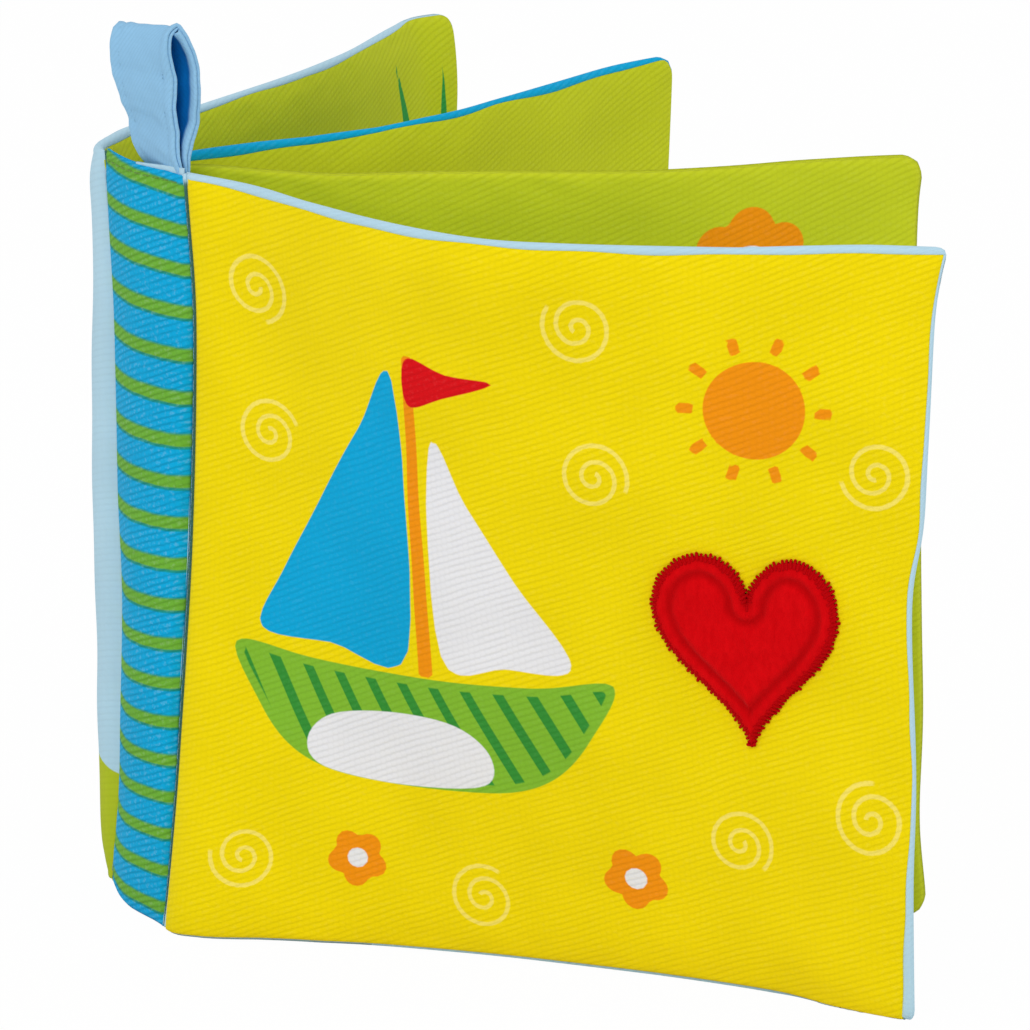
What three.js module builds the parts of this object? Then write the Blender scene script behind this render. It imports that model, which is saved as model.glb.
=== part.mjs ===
import * as THREE from 'three';

// A crinkle cloth book: two padded covers and two padded pages on a striped cloth spine,
// with a tape loop to hang it up. Sizes are in millimetres. X runs from the spine to the
// fore edges of the closed book, Y from the front cover to the back cover and Z up, with
// the origin on the table at the middle of the spine.

// Driving sizes of the book
const leafHeight = 150;
const coverLength = 156;
const pageLength = 148;
const spineSpan = 31;

// Cloth, wadding and crinkle film
const coverClothThickness = 0.8;
const pageClothThickness = 0.7;
const liningThickness = 0.7;
const coverWaddingThickness = 1.9;
const pageWaddingThickness = 1.2;
const spineWaddingThickness = 1.3;
const filmThickness = 0.3;
const layerGap = 0.3;

// Hems: the rolled edge, the stitched seam beside it and the slope up to the padding
const hemWidth = 0.7;
const seamWidth = 2.4;
const slopeWidth = 6;
const fillInset = 9.5;
const hemThicknessShare = 0.6;
const cornerRadius = 2.5;
const coverCrown = 0.7;
const pageCrown = 0.4;
const coverDrawIn = 2;
const pageDrawIn = 1.4;
const drawUpShare = 0.25;
const footCut = 0.5;

// Hinges: cloth bends beside a stitched seam, which has a round bead of cloth and thread
const hingeReach = 1.25;
const seamBeadRadius = 0.7;
const pageHingeSpacing = 5.2;
const bindingWidth = 8.8;
const bindingThickness = 0.8;
const bindingNeck = 0.9;
const pageSetOff = 2.8;
const spineBow = 2.7;

// How far each leaf stands open at rest, from the closed book, in degrees
const frontCoverAngle = 50;
const page1Angle = 26.5;
const page2Angle = 18;
const backCoverAngle = 38.5;

// Each leaf's curve along its bottom and its top edge: shares of its length, first the
// way along it and then the way out of its flat, towards the back cover
const frontCoverBottomShares = [
  [0, 0], [0.19, 0.016], [0.48, 0.044], [0.76, 0.052], [0.87, 0.034], [0.975, 0.022],
];
const frontCoverTopShares = [
  [0, 0], [0.09, 0.004], [0.19, -0.036], [0.355, -0.11], [0.475, -0.142], [0.575, -0.131],
  [0.73, -0.088], [0.895, -0.04], [1.005, -0.026],
];
const page1BottomShares = [[0, 0], [0.3, -0.014], [0.65, -0.034], [1.01, -0.05]];
const page1TopShares = [
  [0, 0], [0.05, -0.004], [0.13, -0.03], [0.22, -0.048], [0.32, -0.036], [0.42, -0.03],
  [0.664, -0.022], [0.85, 0.032], [0.963, 0.058], [1, 0.061],
];
const page2BottomShares = [[0, 0], [0.35, 0.012], [0.7, 0.016], [1, 0.01]];
const page2TopShares = [
  [0, 0], [0.1, 0], [0.28, -0.012], [0.43, -0.032], [0.53, -0.034], [0.64, -0.016], [0.78, 0.008],
  [0.9, 0.026], [1, 0.024],
];
const backCoverBottomShares = [[0, 0], [0.12, 0.018], [0.4, 0.026], [0.75, 0.02], [0.99, 0.012]];
const backCoverTopShares = [
  [0, 0], [0.04, 0.02], [0.09, 0.036], [0.167, 0.048], [0.316, 0.034], [0.5, 0.028],
  [0.663, 0.026], [0.775, 0.028], [0.93, 0.045], [0.996, 0.05], [1.05, 0.024],
];
const warpRiseShare = 1.15;

// Plush heart sewn to the front cover, with its stitched edging
const plushWidth = 37;
const plushHeight = 38;
const plushThickness = 1.7;
const plushRimThickness = 0.9;
const plushPlaceShares = [0.79, 0.47];
const edgingWidth = 1.7;
const edgingHeight = 1;
const edgingSectionShares = [[0, 0], [0, 0.7], [0.3, 1], [0.7, 1], [1, 0.5], [1, 0]];
// The outline is x = sin cubed and y = the sum of these shares of the cosines of 1 to 4 turns
const heartCosineShares = [13 / 16, -5 / 16, -2 / 16, -1 / 16];

// Hang loop: a flat tape folded in two, with its ends in the top seam of the spine
const tapeWidth = 16;
const tapeThickness = 1.2;
const loopHeight = 27;
const loopOpening = 6.2;
const loopLean = 1;
const loopPlaceShare = 0.245;
const loopSetBack = 1.8;
const loopWidestShare = 1.25;
const loopFullnessShare = 0.7;

// Counts of cells across the padded part of each form
const clothCells = [14, 6];
const fillCells = [14, 5];
const spineClothCells = [4, 3];
const spineFillCells = [4, 1];
const beadSides = 12;
const heartPoints = 40;
const heartRingShares = [0.4, 0.75, 0.93, 1];
const loopSteps = 14;

const colours = {
  yellow: 0xe8d400,
  paleBlue: 0xafd2e6,
  blue: 0x00a0d7,
  lime: 0xb2c024,
  loopBlue: 0x8cb9e1,
  red: 0xd70a14,
  wadding: 0xf4f3ee,
  film: 0xd9dde0,
  thread: 0x4f9a3a,
};

const cloth = (color) => new THREE.MeshStandardMaterial({ color, roughness: 0.9, metalness: 0 });
const gloss = (color) => new THREE.MeshStandardMaterial({ color, roughness: 0.3, metalness: 0 });

const { clamp, degToRad, lerp, smoothstep } = THREE.MathUtils;

function named(name, geometry, material) {
  const mesh = new THREE.Mesh(geometry, material);
  mesh.name = name;
  return mesh;
}

// The flat of a sewn panel bent into its resting form. place(along, up, out) gives the
// point at a way along the panel from its hinge, a height and a way out of its middle.
function makePanel({ length, end, bottomShares, topShares, drawIn, corner }) {
  const toCurve = (shares) =>
    new THREE.SplineCurve(shares.map(([along, aside]) => new THREE.Vector2(along * length, aside * length)));
  const bottomCurve = toCurve(bottomShares);
  const topCurve = toCurve(topShares);

  function cornerCut(up) {
    const inside = Math.min(up, leafHeight - up);
    if (inside >= corner) return 0;
    const rise = corner - Math.max(inside, 0);
    return corner - Math.sqrt(corner * corner - rise * rise);
  }

  function place(along, up, out) {
    const bulge = Math.sin(Math.PI * clamp(along / length, 0, 1));
    const side = Math.sin(Math.PI * clamp(up / leafHeight, 0, 1));
    const reach = along * (1 - (cornerCut(up) + drawIn * side) / length);
    const pulled = up + drawUpShare * drawIn * bulge * (1 - (2 * up) / leafHeight);
    const height = drawIn ? Math.max(pulled - footCut, 0) : up;
    const share = clamp(reach / length, 0, 1);
    const rise = Math.pow(clamp(up / leafHeight, 0, 1), warpRiseShare);
    const point = bottomCurve.getPointAt(share).lerp(topCurve.getPointAt(share), rise);
    const way = bottomCurve.getTangentAt(share).lerp(topCurve.getTangentAt(share), rise).normalize();
    return new THREE.Vector3(point.x - way.y * out, point.y + way.x * out, height);
  }

  const edgeWay = (along, up) => Math.min(along - hingeReach, end - along, up, leafHeight - up);
  return { length, end, place, edgeWay };
}

// Stations across a cloth: the rolled hem, the seam and the slope at both ends, then even
// cells between them
function clothStations(start, end, cells) {
  const edges = [0, hemWidth, seamWidth, seamWidth + slopeWidth];
  const first = start + seamWidth + slopeWidth;
  const last = end - seamWidth - slopeWidth;
  const middle = Array.from({ length: cells - 1 }, (_, i) => lerp(first, last, (i + 1) / cells));
  return [...edges.map((way) => start + way), ...middle, ...edges.reverse().map((way) => end - way)];
}

function evenStations(start, end, cells) {
  return Array.from({ length: cells + 1 }, (_, i) => lerp(start, end, i / cells));
}

// A closed layer of a panel: a skin on each side of the stations and a rim round them
function layerGeometry(panel, alongStations, upStations, nearSide, farSide) {
  const positions = [];
  for (const side of [nearSide, farSide]) {
    for (const up of upStations) {
      for (const along of alongStations) {
        const point = panel.place(along, up, side(along, up));
        positions.push(point.x, point.y, point.z);
      }
    }
  }
  const columns = alongStations.length;
  const rows = upStations.length;
  const at = (side, row, column) => (side * rows + row) * columns + column;
  const indices = [];
  const quad = (a, b, c, d) => indices.push(a, b, c, a, c, d);
  for (let row = 0; row < rows - 1; row++) {
    for (let column = 0; column < columns - 1; column++) {
      quad(at(0, row, column), at(0, row, column + 1), at(0, row + 1, column + 1), at(0, row + 1, column));
      quad(at(1, row, column), at(1, row + 1, column), at(1, row + 1, column + 1), at(1, row, column + 1));
    }
  }
  const border = [];
  for (let column = 0; column < columns - 1; column++) border.push([0, column]);
  for (let row = 0; row < rows - 1; row++) border.push([row, columns - 1]);
  for (let column = columns - 1; column > 0; column--) border.push([rows - 1, column]);
  for (let row = rows - 1; row > 0; row--) border.push([row, 0]);
  border.forEach((here, i) => {
    const next = border[(i + 1) % border.length];
    quad(at(0, ...here), at(1, ...here), at(1, ...next), at(0, ...next));
  });
  return closedGeometry(positions, indices);
}

function closedGeometry(positions, indices) {
  const geometry = new THREE.BufferGeometry();
  geometry.setAttribute('position', new THREE.Float32BufferAttribute(positions, 3));
  geometry.setIndex(indices);
  geometry.computeVertexNormals();
  return geometry;
}

// The stack of one padded panel: half the hollow between its two cloths, and the outer
// side of each cloth, thinner where its hem rolls over
function makeStack(panel, fillThickness, crown) {
  const fullHalf = fillThickness / 2;
  const seamHalf = layerGap / 2;
  function hollow(along, up) {
    const padded = smoothstep(panel.edgeWay(along, up), seamWidth, seamWidth + slopeWidth);
    const swell = Math.sin(Math.PI * clamp(along / panel.length, 0, 1)) * Math.sin((Math.PI * up) / leafHeight);
    return seamHalf + (fullHalf - seamHalf + crown * swell) * padded;
  }
  function outside(thickness) {
    return (along, up) => {
      const rolled = lerp(hemThicknessShare, 1, smoothstep(panel.edgeWay(along, up), 0, hemWidth));
      return hollow(along, up) + thickness * rolled;
    };
  }
  return { hollow, outside };
}

// The filling between the cloths: wadding on the front side and film on the back side,
// with a gap round each
function fillLayers(panel, stack, prefix, alongStations, upStations) {
  const { hollow } = stack;
  const filmFront = (along, up) => hollow(along, up) - layerGap - filmThickness;
  return [
    named(
      `${prefix}_wadding`,
      layerGeometry(
        panel, alongStations, upStations,
        (along, up) => layerGap - hollow(along, up),
        (along, up) => filmFront(along, up) - layerGap,
      ),
      cloth(colours.wadding),
    ),
    named(
      `${prefix}_crinkle_film`,
      layerGeometry(panel, alongStations, upStations, filmFront, (along, up) => hollow(along, up) - layerGap),
      gloss(colours.film),
    ),
  ];
}

// One padded leaf: a cloth on each side and the filling between them
function makeLeaf({ prefix, panel, stack, frontName, backName, frontColour, backColour, thicknesses }) {
  const along = clothStations(hingeReach, panel.end, clothCells[0]);
  const up = clothStations(0, leafHeight, clothCells[1]);
  const fillAlong = evenStations(hingeReach + fillInset, panel.end - fillInset, fillCells[0]);
  const fillUp = evenStations(fillInset, leafHeight - fillInset, fillCells[1]);
  const { hollow, outside } = stack;
  const frontOutside = outside(thicknesses[0]);
  const leaf = new THREE.Group();
  leaf.add(
    named(
      frontName,
      layerGeometry(panel, along, up, (a, u) => -frontOutside(a, u), (a, u) => -hollow(a, u)),
      cloth(frontColour),
    ),
    named(backName, layerGeometry(panel, along, up, hollow, outside(thicknesses[1])), cloth(backColour)),
    ...fillLayers(panel, stack, prefix, fillAlong, fillUp),
  );
  return leaf;
}

const coverFill = coverWaddingThickness + filmThickness + 3 * layerGap;
const pageFill = pageWaddingThickness + filmThickness + 3 * layerGap;

function makeLeafPanel(length, drawIn, bottomShares, topShares) {
  return makePanel({ length, end: length, bottomShares, topShares, drawIn, corner: cornerRadius });
}

// Front cover, with the plush heart on its outer cloth
function makeFrontCover() {
  const panel = makeLeafPanel(coverLength, coverDrawIn, frontCoverBottomShares, frontCoverTopShares);
  const stack = makeStack(panel, coverFill, coverCrown);
  const leaf = makeLeaf({
    prefix: 'front_cover',
    panel,
    stack,
    frontName: 'front_cover_cloth',
    backName: 'front_cover_lining',
    frontColour: colours.yellow,
    backColour: colours.paleBlue,
    thicknesses: [coverClothThickness, liningThickness],
  });
  const clothFace = stack.outside(coverClothThickness);
  const heart = heartOutline();
  leaf.add(
    named('plush_heart', plushGeometry(panel, clothFace, heart), cloth(colours.red)),
    named('plush_heart_edging', edgingGeometry(panel, clothFace, heart), cloth(colours.red)),
  );
  return leaf;
}

// A heart outline round its middle, as wide and high as the plush piece
function heartOutline() {
  const raw = Array.from({ length: heartPoints }, (_, i) => {
    const turn = (2 * Math.PI * i) / heartPoints;
    const wide = Math.pow(Math.sin(turn), 3);
    const high = heartCosineShares.reduce((sum, share, at) => sum + share * Math.cos((at + 1) * turn), 0);
    return new THREE.Vector2(wide, high);
  });
  const box = new THREE.Box2().setFromPoints(raw);
  const size = box.getSize(new THREE.Vector2());
  const middle = box.getCenter(new THREE.Vector2());
  return raw.map((point) => {
    const fromMiddle = point.sub(middle);
    return new THREE.Vector2((fromMiddle.x / size.x) * plushWidth, (fromMiddle.y / size.y) * plushHeight);
  });
}

// A point of the outline grown by a width, on the cloth's face and raised from it
function heartPlace(panel, clothFace, point, grow, raise) {
  const grown = point.clone().setLength(point.length() + grow);
  const along = plushPlaceShares[0] * panel.length + grown.x;
  const up = plushPlaceShares[1] * leafHeight + grown.y;
  return panel.place(along, up, -clothFace(along, up) - raise);
}

function plushGeometry(panel, clothFace, outline) {
  const positions = [];
  const indices = [];
  const put = (point, raise) => {
    const at = heartPlace(panel, clothFace, point, 0, raise);
    positions.push(at.x, at.y, at.z);
    return positions.length / 3 - 1;
  };
  const rise = (share) => layerGap + lerp(plushThickness, plushRimThickness, Math.pow(share, 3));
  const middle = new THREE.Vector2(0, 0);
  const sides = [() => layerGap, rise].map((height) => {
    const centre = put(middle, height(0));
    const rings = heartRingShares.map((share) =>
      outline.map((point) => put(middle.clone().lerp(point, share), height(share))));
    return { centre, rings };
  });
  sides.forEach(({ centre, rings }, side) => {
    const triangle = (a, b, c) => (side ? indices.push(a, b, c) : indices.push(a, c, b));
    outline.forEach((_, i) => {
      const next = (i + 1) % outline.length;
      triangle(centre, rings[0][next], rings[0][i]);
      for (let ring = 0; ring < rings.length - 1; ring++) {
        triangle(rings[ring][i], rings[ring][next], rings[ring + 1][next]);
        triangle(rings[ring][i], rings[ring + 1][next], rings[ring + 1][i]);
      }
    });
  });
  const low = sides[0].rings.at(-1);
  const high = sides[1].rings.at(-1);
  outline.forEach((_, i) => {
    const next = (i + 1) % outline.length;
    indices.push(low[i], high[i], high[next], low[i], high[next], low[next]);
  });
  return closedGeometry(positions, indices);
}

// The stitched edging: a low band round the heart, with its corners taken off
function edgingGeometry(panel, clothFace, outline) {
  const section = edgingSectionShares.map(([out, high]) => [
    layerGap + out * edgingWidth,
    layerGap + high * edgingHeight,
  ]);
  const positions = [];
  outline.forEach((point) => {
    section.forEach(([grow, raise]) => {
      const at = heartPlace(panel, clothFace, point, grow, raise);
      positions.push(at.x, at.y, at.z);
    });
  });
  const indices = [];
  const sides = section.length;
  outline.forEach((_, i) => {
    const next = (i + 1) % outline.length;
    section.forEach((_corner, side) => {
      const beside = (side + 1) % sides;
      const [a, b, c, d] = [i * sides + side, next * sides + side, next * sides + beside, i * sides + beside];
      indices.push(a, b, c, a, c, d);
    });
  });
  return closedGeometry(positions, indices);
}

function makeBackCover() {
  const panel = makeLeafPanel(coverLength, coverDrawIn, backCoverBottomShares, backCoverTopShares);
  return makeLeaf({
    prefix: 'back_cover',
    panel,
    stack: makeStack(panel, coverFill, coverCrown),
    frontName: 'back_cover_lining',
    backName: 'back_cover_cloth',
    frontColour: colours.lime,
    backColour: colours.paleBlue,
    thicknesses: [liningThickness, coverClothThickness],
  });
}

function makePage(number, bottomShares, topShares, backColour) {
  const panel = makeLeafPanel(pageLength, pageDrawIn, bottomShares, topShares);
  return makeLeaf({
    prefix: `page_${number}`,
    panel,
    stack: makeStack(panel, pageFill, pageCrown),
    frontName: `page_${number}_front_cloth`,
    backName: `page_${number}_back_cloth`,
    frontColour: colours.lime,
    backColour,
    thicknesses: [pageClothThickness, pageClothThickness],
  });
}

// Spine: a padded strip bowed outwards, with a lining in two halves that meet where the
// pages are sewn in
const bowShares = [[0, 0], [0.5, spineBow / spineSpan], [1, 0]];
const spinePanel = makePanel({
  length: spineSpan,
  end: spineSpan - hingeReach,
  bottomShares: bowShares,
  topShares: bowShares,
  drawIn: 0,
  corner: 0,
});
const spineStack = makeStack(spinePanel, spineWaddingThickness + 2 * layerGap, 0);

function makeSpine() {
  const panel = spinePanel;
  const end = panel.end;
  const { hollow, outside } = spineStack;
  const outerFace = outside(coverClothThickness);
  const liningFace = outside(liningThickness);
  const along = clothStations(hingeReach, end, spineClothCells[0]);
  const up = clothStations(0, leafHeight, spineClothCells[1]);
  const fillAlong = evenStations(hingeReach + fillInset, end - fillInset, spineFillCells[0]);
  const fillUp = evenStations(fillInset, leafHeight - fillInset, spineFillCells[1]);
  const middle = spineSpan / 2;
  const halves = {
    spine_lining_front: [...along.filter((way) => way < middle - layerGap), middle - layerGap / 2],
    spine_lining_back: [middle + layerGap / 2, ...along.filter((way) => way > middle + layerGap)],
  };
  const spine = new THREE.Group();
  spine.add(
    named('spine_cloth', layerGeometry(panel, along, up, hollow, outerFace), cloth(colours.blue)),
    named(
      'spine_wadding',
      layerGeometry(
        panel, fillAlong, fillUp,
        (a, u) => layerGap - hollow(a, u),
        (a, u) => hollow(a, u) - layerGap,
      ),
      cloth(colours.wadding),
    ),
  );
  for (const [name, stations] of Object.entries(halves)) {
    const colour = name.endsWith('front') ? colours.paleBlue : colours.lime;
    const geometry = layerGeometry(panel, stations, up, (a, u) => -liningFace(a, u), (a, u) => -hollow(a, u));
    spine.add(named(name, geometry, cloth(colour)));
  }
  spine.position.y = -spineSpan / 2;
  spine.rotation.z = degToRad(90);
  return spine;
}

// The round bead of a hinge seam, which its leaf turns about
function makeHingeSeam(name, y) {
  const geometry = new THREE.CylinderGeometry(seamBeadRadius, seamBeadRadius, leafHeight, beadSides);
  geometry.rotateX(degToRad(90));
  const seam = named(name, geometry, cloth(colours.thread));
  seam.position.set(0, y, leafHeight / 2);
  return seam;
}

// The strip that binds the pages to the middle of the spine, with a bead for each page
const liningInside = [-1, 1].map((side) => {
  const along = (spineSpan + side * bindingWidth) / 2;
  const up = leafHeight / 2;
  return -spinePanel.place(along, up, -spineStack.outside(liningThickness)(along, up)).y;
});
const bindingBack = Math.max(...liningInside) + layerGap;
const pageHingeX = bindingBack + bindingThickness + pageSetOff;

function makeBinding() {
  const front = bindingBack + bindingThickness;
  const neckHalf = bindingNeck / 2;
  const neckTurn = Math.asin(neckHalf / seamBeadRadius);
  const shape = new THREE.Shape();
  shape.moveTo(bindingBack, -bindingWidth / 2);
  shape.lineTo(front, -bindingWidth / 2);
  for (const side of [-1, 1]) {
    const hingeY = (side * pageHingeSpacing) / 2;
    shape.lineTo(front, hingeY - neckHalf);
    shape.absarc(pageHingeX, hingeY, seamBeadRadius, neckTurn - Math.PI, Math.PI - neckTurn, false);
    shape.lineTo(front, hingeY + neckHalf);
  }
  shape.lineTo(front, bindingWidth / 2);
  shape.lineTo(bindingBack, bindingWidth / 2);
  shape.closePath();
  const geometry = new THREE.ExtrudeGeometry(shape, {
    depth: leafHeight,
    bevelEnabled: false,
    curveSegments: beadSides / 2,
  });
  return named('page_binding', geometry, cloth(colours.lime));
}

// The hang loop, seen along its tape: two plies that part from a round foot and meet in
// a fold at the top, leaning a little away from the pages
function makeHangLoop() {
  const widest = loopOpening / 2 + tapeThickness;
  const foldRise = loopHeight - tapeThickness;
  const lean = (share) => -loopLean * share * share;
  const halfWay = (share) => {
    const swell = Math.pow(Math.sin(Math.PI * Math.pow(share, 1 / loopWidestShare)), loopFullnessShare);
    return lerp(tapeThickness, widest, swell);
  };
  const sideOf = (side, inset, top) => {
    const points = [];
    for (let step = 0; step <= loopSteps; step++) {
      const share = step / loopSteps;
      points.push(new THREE.Vector2(lean(share) + side * (halfWay(share) - inset), top * share));
    }
    return points;
  };
  const outerRight = sideOf(1, 0, foldRise);
  const outerLeft = sideOf(-1, 0, foldRise).reverse();
  const foot = Array.from({ length: beadSides / 2 - 1 }, (_, i) => {
    const turn = Math.PI + (Math.PI * (i + 1)) / (beadSides / 2);
    return new THREE.Vector2(Math.cos(turn), Math.sin(turn)).multiplyScalar(tapeThickness);
  });
  const fold = Array.from({ length: beadSides / 2 - 1 }, (_, i) => {
    const turn = (Math.PI * (i + 1)) / (beadSides / 2);
    return new THREE.Vector2(-loopLean, foldRise)
      .add(new THREE.Vector2(Math.cos(turn), Math.sin(turn)).multiplyScalar(tapeThickness));
  });
  const shape = new THREE.Shape([...outerRight, ...fold, ...outerLeft, ...foot]);
  const holeTop = foldRise - tapeThickness / 2;
  const innerRight = sideOf(1, tapeThickness, holeTop);
  const innerLeft = sideOf(-1, tapeThickness, holeTop);
  const holeRight = innerRight.slice(1, -1);
  const holeLeft = innerLeft.slice(1, -1).reverse();
  shape.holes.push(new THREE.Path([...holeRight, ...holeLeft]));
  const geometry = new THREE.ExtrudeGeometry(shape, { depth: tapeWidth, bevelEnabled: false });
  geometry.rotateX(degToRad(90));
  geometry.translate(0, tapeWidth / 2, 0);
  return named('hang_loop', geometry, cloth(colours.loopBlue));
}

// The book, standing open as it rests
function openTo(leaf, x, y, opening) {
  leaf.position.set(x, y, 0);
  leaf.rotation.z = degToRad(opening);
  return leaf;
}

const book = new THREE.Group();
const coverHingeY = spineSpan / 2;
const pageHingeY = pageHingeSpacing / 2;
book.add(
  makeSpine(),
  makeHingeSeam('front_hinge_seam', -coverHingeY),
  makeHingeSeam('back_hinge_seam', coverHingeY),
  makeBinding(),
  openTo(makeFrontCover(), 0, -coverHingeY, -frontCoverAngle),
  openTo(makePage(1, page1BottomShares, page1TopShares, colours.lime), pageHingeX, -pageHingeY, -page1Angle),
  openTo(makePage(2, page2BottomShares, page2TopShares, colours.blue), pageHingeX, pageHingeY, page2Angle),
  openTo(makeBackCover(), 0, coverHingeY, backCoverAngle),
);

const hangLoop = makeHangLoop();
hangLoop.position.set(
  -loopSetBack,
  lerp(-coverHingeY, coverHingeY, loopPlaceShare),
  leafHeight + layerGap + tapeThickness,
);
book.add(hangLoop);

export default book;
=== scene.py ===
import math
import random
from functools import partial

import bpy
import numpy as np
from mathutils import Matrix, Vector


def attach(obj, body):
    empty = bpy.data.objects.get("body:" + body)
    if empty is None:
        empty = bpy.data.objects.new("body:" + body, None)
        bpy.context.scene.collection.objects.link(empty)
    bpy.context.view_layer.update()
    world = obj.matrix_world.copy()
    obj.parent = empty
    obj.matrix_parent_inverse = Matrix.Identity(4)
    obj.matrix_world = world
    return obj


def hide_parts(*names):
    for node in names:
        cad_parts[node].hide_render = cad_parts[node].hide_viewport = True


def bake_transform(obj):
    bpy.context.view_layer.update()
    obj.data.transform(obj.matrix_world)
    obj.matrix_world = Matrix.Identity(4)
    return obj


# A padded cloth book standing half open, with a striped spine, a tape loop and a plush heart.
# Forms are worked out in millimetres, as in the part's source, and made in metres.

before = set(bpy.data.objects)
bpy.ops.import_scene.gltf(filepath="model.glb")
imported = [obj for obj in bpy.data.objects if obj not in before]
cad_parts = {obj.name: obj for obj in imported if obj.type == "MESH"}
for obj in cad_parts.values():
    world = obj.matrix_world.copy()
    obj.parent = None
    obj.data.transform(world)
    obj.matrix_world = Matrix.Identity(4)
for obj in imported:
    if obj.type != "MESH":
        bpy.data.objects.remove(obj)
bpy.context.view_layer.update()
mm = 0.001
print("frame loaded,", len(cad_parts), "nodes")

book = {
    "coverLength": 156.0,
    "spineSpan": 31.0,
    "spineBow": 2.7,
    "warpRise": 1.15,
    "footCut": 0.5,
    "edgeRound": 1.1,  # how far in from a leaf's outer edge its two faces curve together
    "seamDip": 0.16,
    "drawUpShare": 0.25,  # how much of a leaf's draw-in its top and bottom edges have
    "flatScale": 200.0,  # millimetres in one unit of the flat UV map
}
leafHeight = 150.0

# sRGB colours of the print and the plain cloths
paint = {
    "yellow": (238, 214, 0),
    "blue": (8, 163, 214),
    "paleBlue": (180, 213, 229),
    "loopBlue": (142, 190, 224),
    # The tape's inner faces: partly a deeper dye and partly painted shade inside the loop
    "loopInside": (0, 108, 185),
    "lime": (192, 201, 34),
    "hillLime": (178, 192, 40),
    "stripeGreen": (106, 170, 54),
    "darkGreen": (50, 150, 65),
    "red": (215, 10, 20),
    "orange": (240, 145, 10),
    "white": (230, 230, 234),
    "swirl": (245, 225, 100),
    "bandEdge": (24, 140, 128),
}


# A paint's name or an sRGB colour, as linear values
def linear(colour, gain=1.0):
    values = [c / 255 for c in (paint[colour] if isinstance(colour, str) else colour)]
    values = [c / 12.92 if c <= 0.04045 else ((c + 0.055) / 1.055) ** 2.4 for c in values]
    return (*(gain * c for c in values), 1.0)


# Camera and framing

view = {
    "place": (-0.4532, -1.0503, 0.3856),
    "direction": (0.4385, 0.8607, -0.2588),
    "lens": 210.97,
}
cameraData = bpy.data.cameras.new("camera")
cameraData.sensor_width = 36
cameraData.lens = view["lens"]
cameraData.clip_end = 20
camera = bpy.data.objects.new("camera", cameraData)
camera.location = view["place"]
camera.rotation_euler = Vector(view["direction"]).to_track_quat("-Z", "Y").to_euler()
bpy.context.scene.collection.objects.link(camera)
bpy.context.scene.camera = camera
bpy.context.scene.view_settings.view_transform = "Standard"


# Small maths shared by the cloth forms

def smooth(value, low, high):
    t = np.clip((value - low) / (high - low), 0, 1)
    return t * t * (3 - 2 * t)


def mixed(a, b, t):
    return a + (b - a) * t


def unit(vectors):
    return vectors / np.linalg.norm(vectors, axis=-1, keepdims=True)


# Even, repeatable waviness between about -1 and 1, with a wavelength in millimetres
def waviness(x, y, wavelength, seed):
    waves = 7
    draw = random.Random(seed)
    total = np.zeros(np.broadcast(x, y).shape)
    for _ in range(waves):
        turn = draw.uniform(0, 2 * math.pi)
        k = 2 * math.pi / (wavelength * draw.uniform(0.7, 1.5))
        total += np.sin(k * (math.cos(turn) * x + math.sin(turn) * y) + draw.uniform(0, 2 * math.pi))
    return total / math.sqrt(waves) * 0.9


# A smooth line through points, in even steps of the points' count
def lineThrough(points, count):
    points = np.array(points, float)
    t = np.linspace(0, len(points) - 1, count)
    i = np.minimum(t.astype(int), len(points) - 2)
    w = (t - i)[:, None]
    before, here = points[np.maximum(i - 1, 0)], points[i]
    there, after = points[i + 1], points[np.minimum(i + 2, len(points) - 1)]
    leave, reach = (there - before) / 2, (after - here) / 2
    bend = (2 * here - 2 * there + leave + reach) * w - 3 * here + 3 * there - 2 * leave - reach
    return bend * w * w + leave * w + here


# The way along a line up to each of its points
def wayAlong(line):
    return np.concatenate([[0], np.cumsum(np.linalg.norm(np.diff(line, axis=0), axis=1))])


def columnsAt(at, steps, table):
    return np.stack([np.interp(at, steps, column) for column in np.transpose(table)], -1)


# The four leaves and the spine as sewn panels: x runs from the hinge, y up, out to the left

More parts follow.
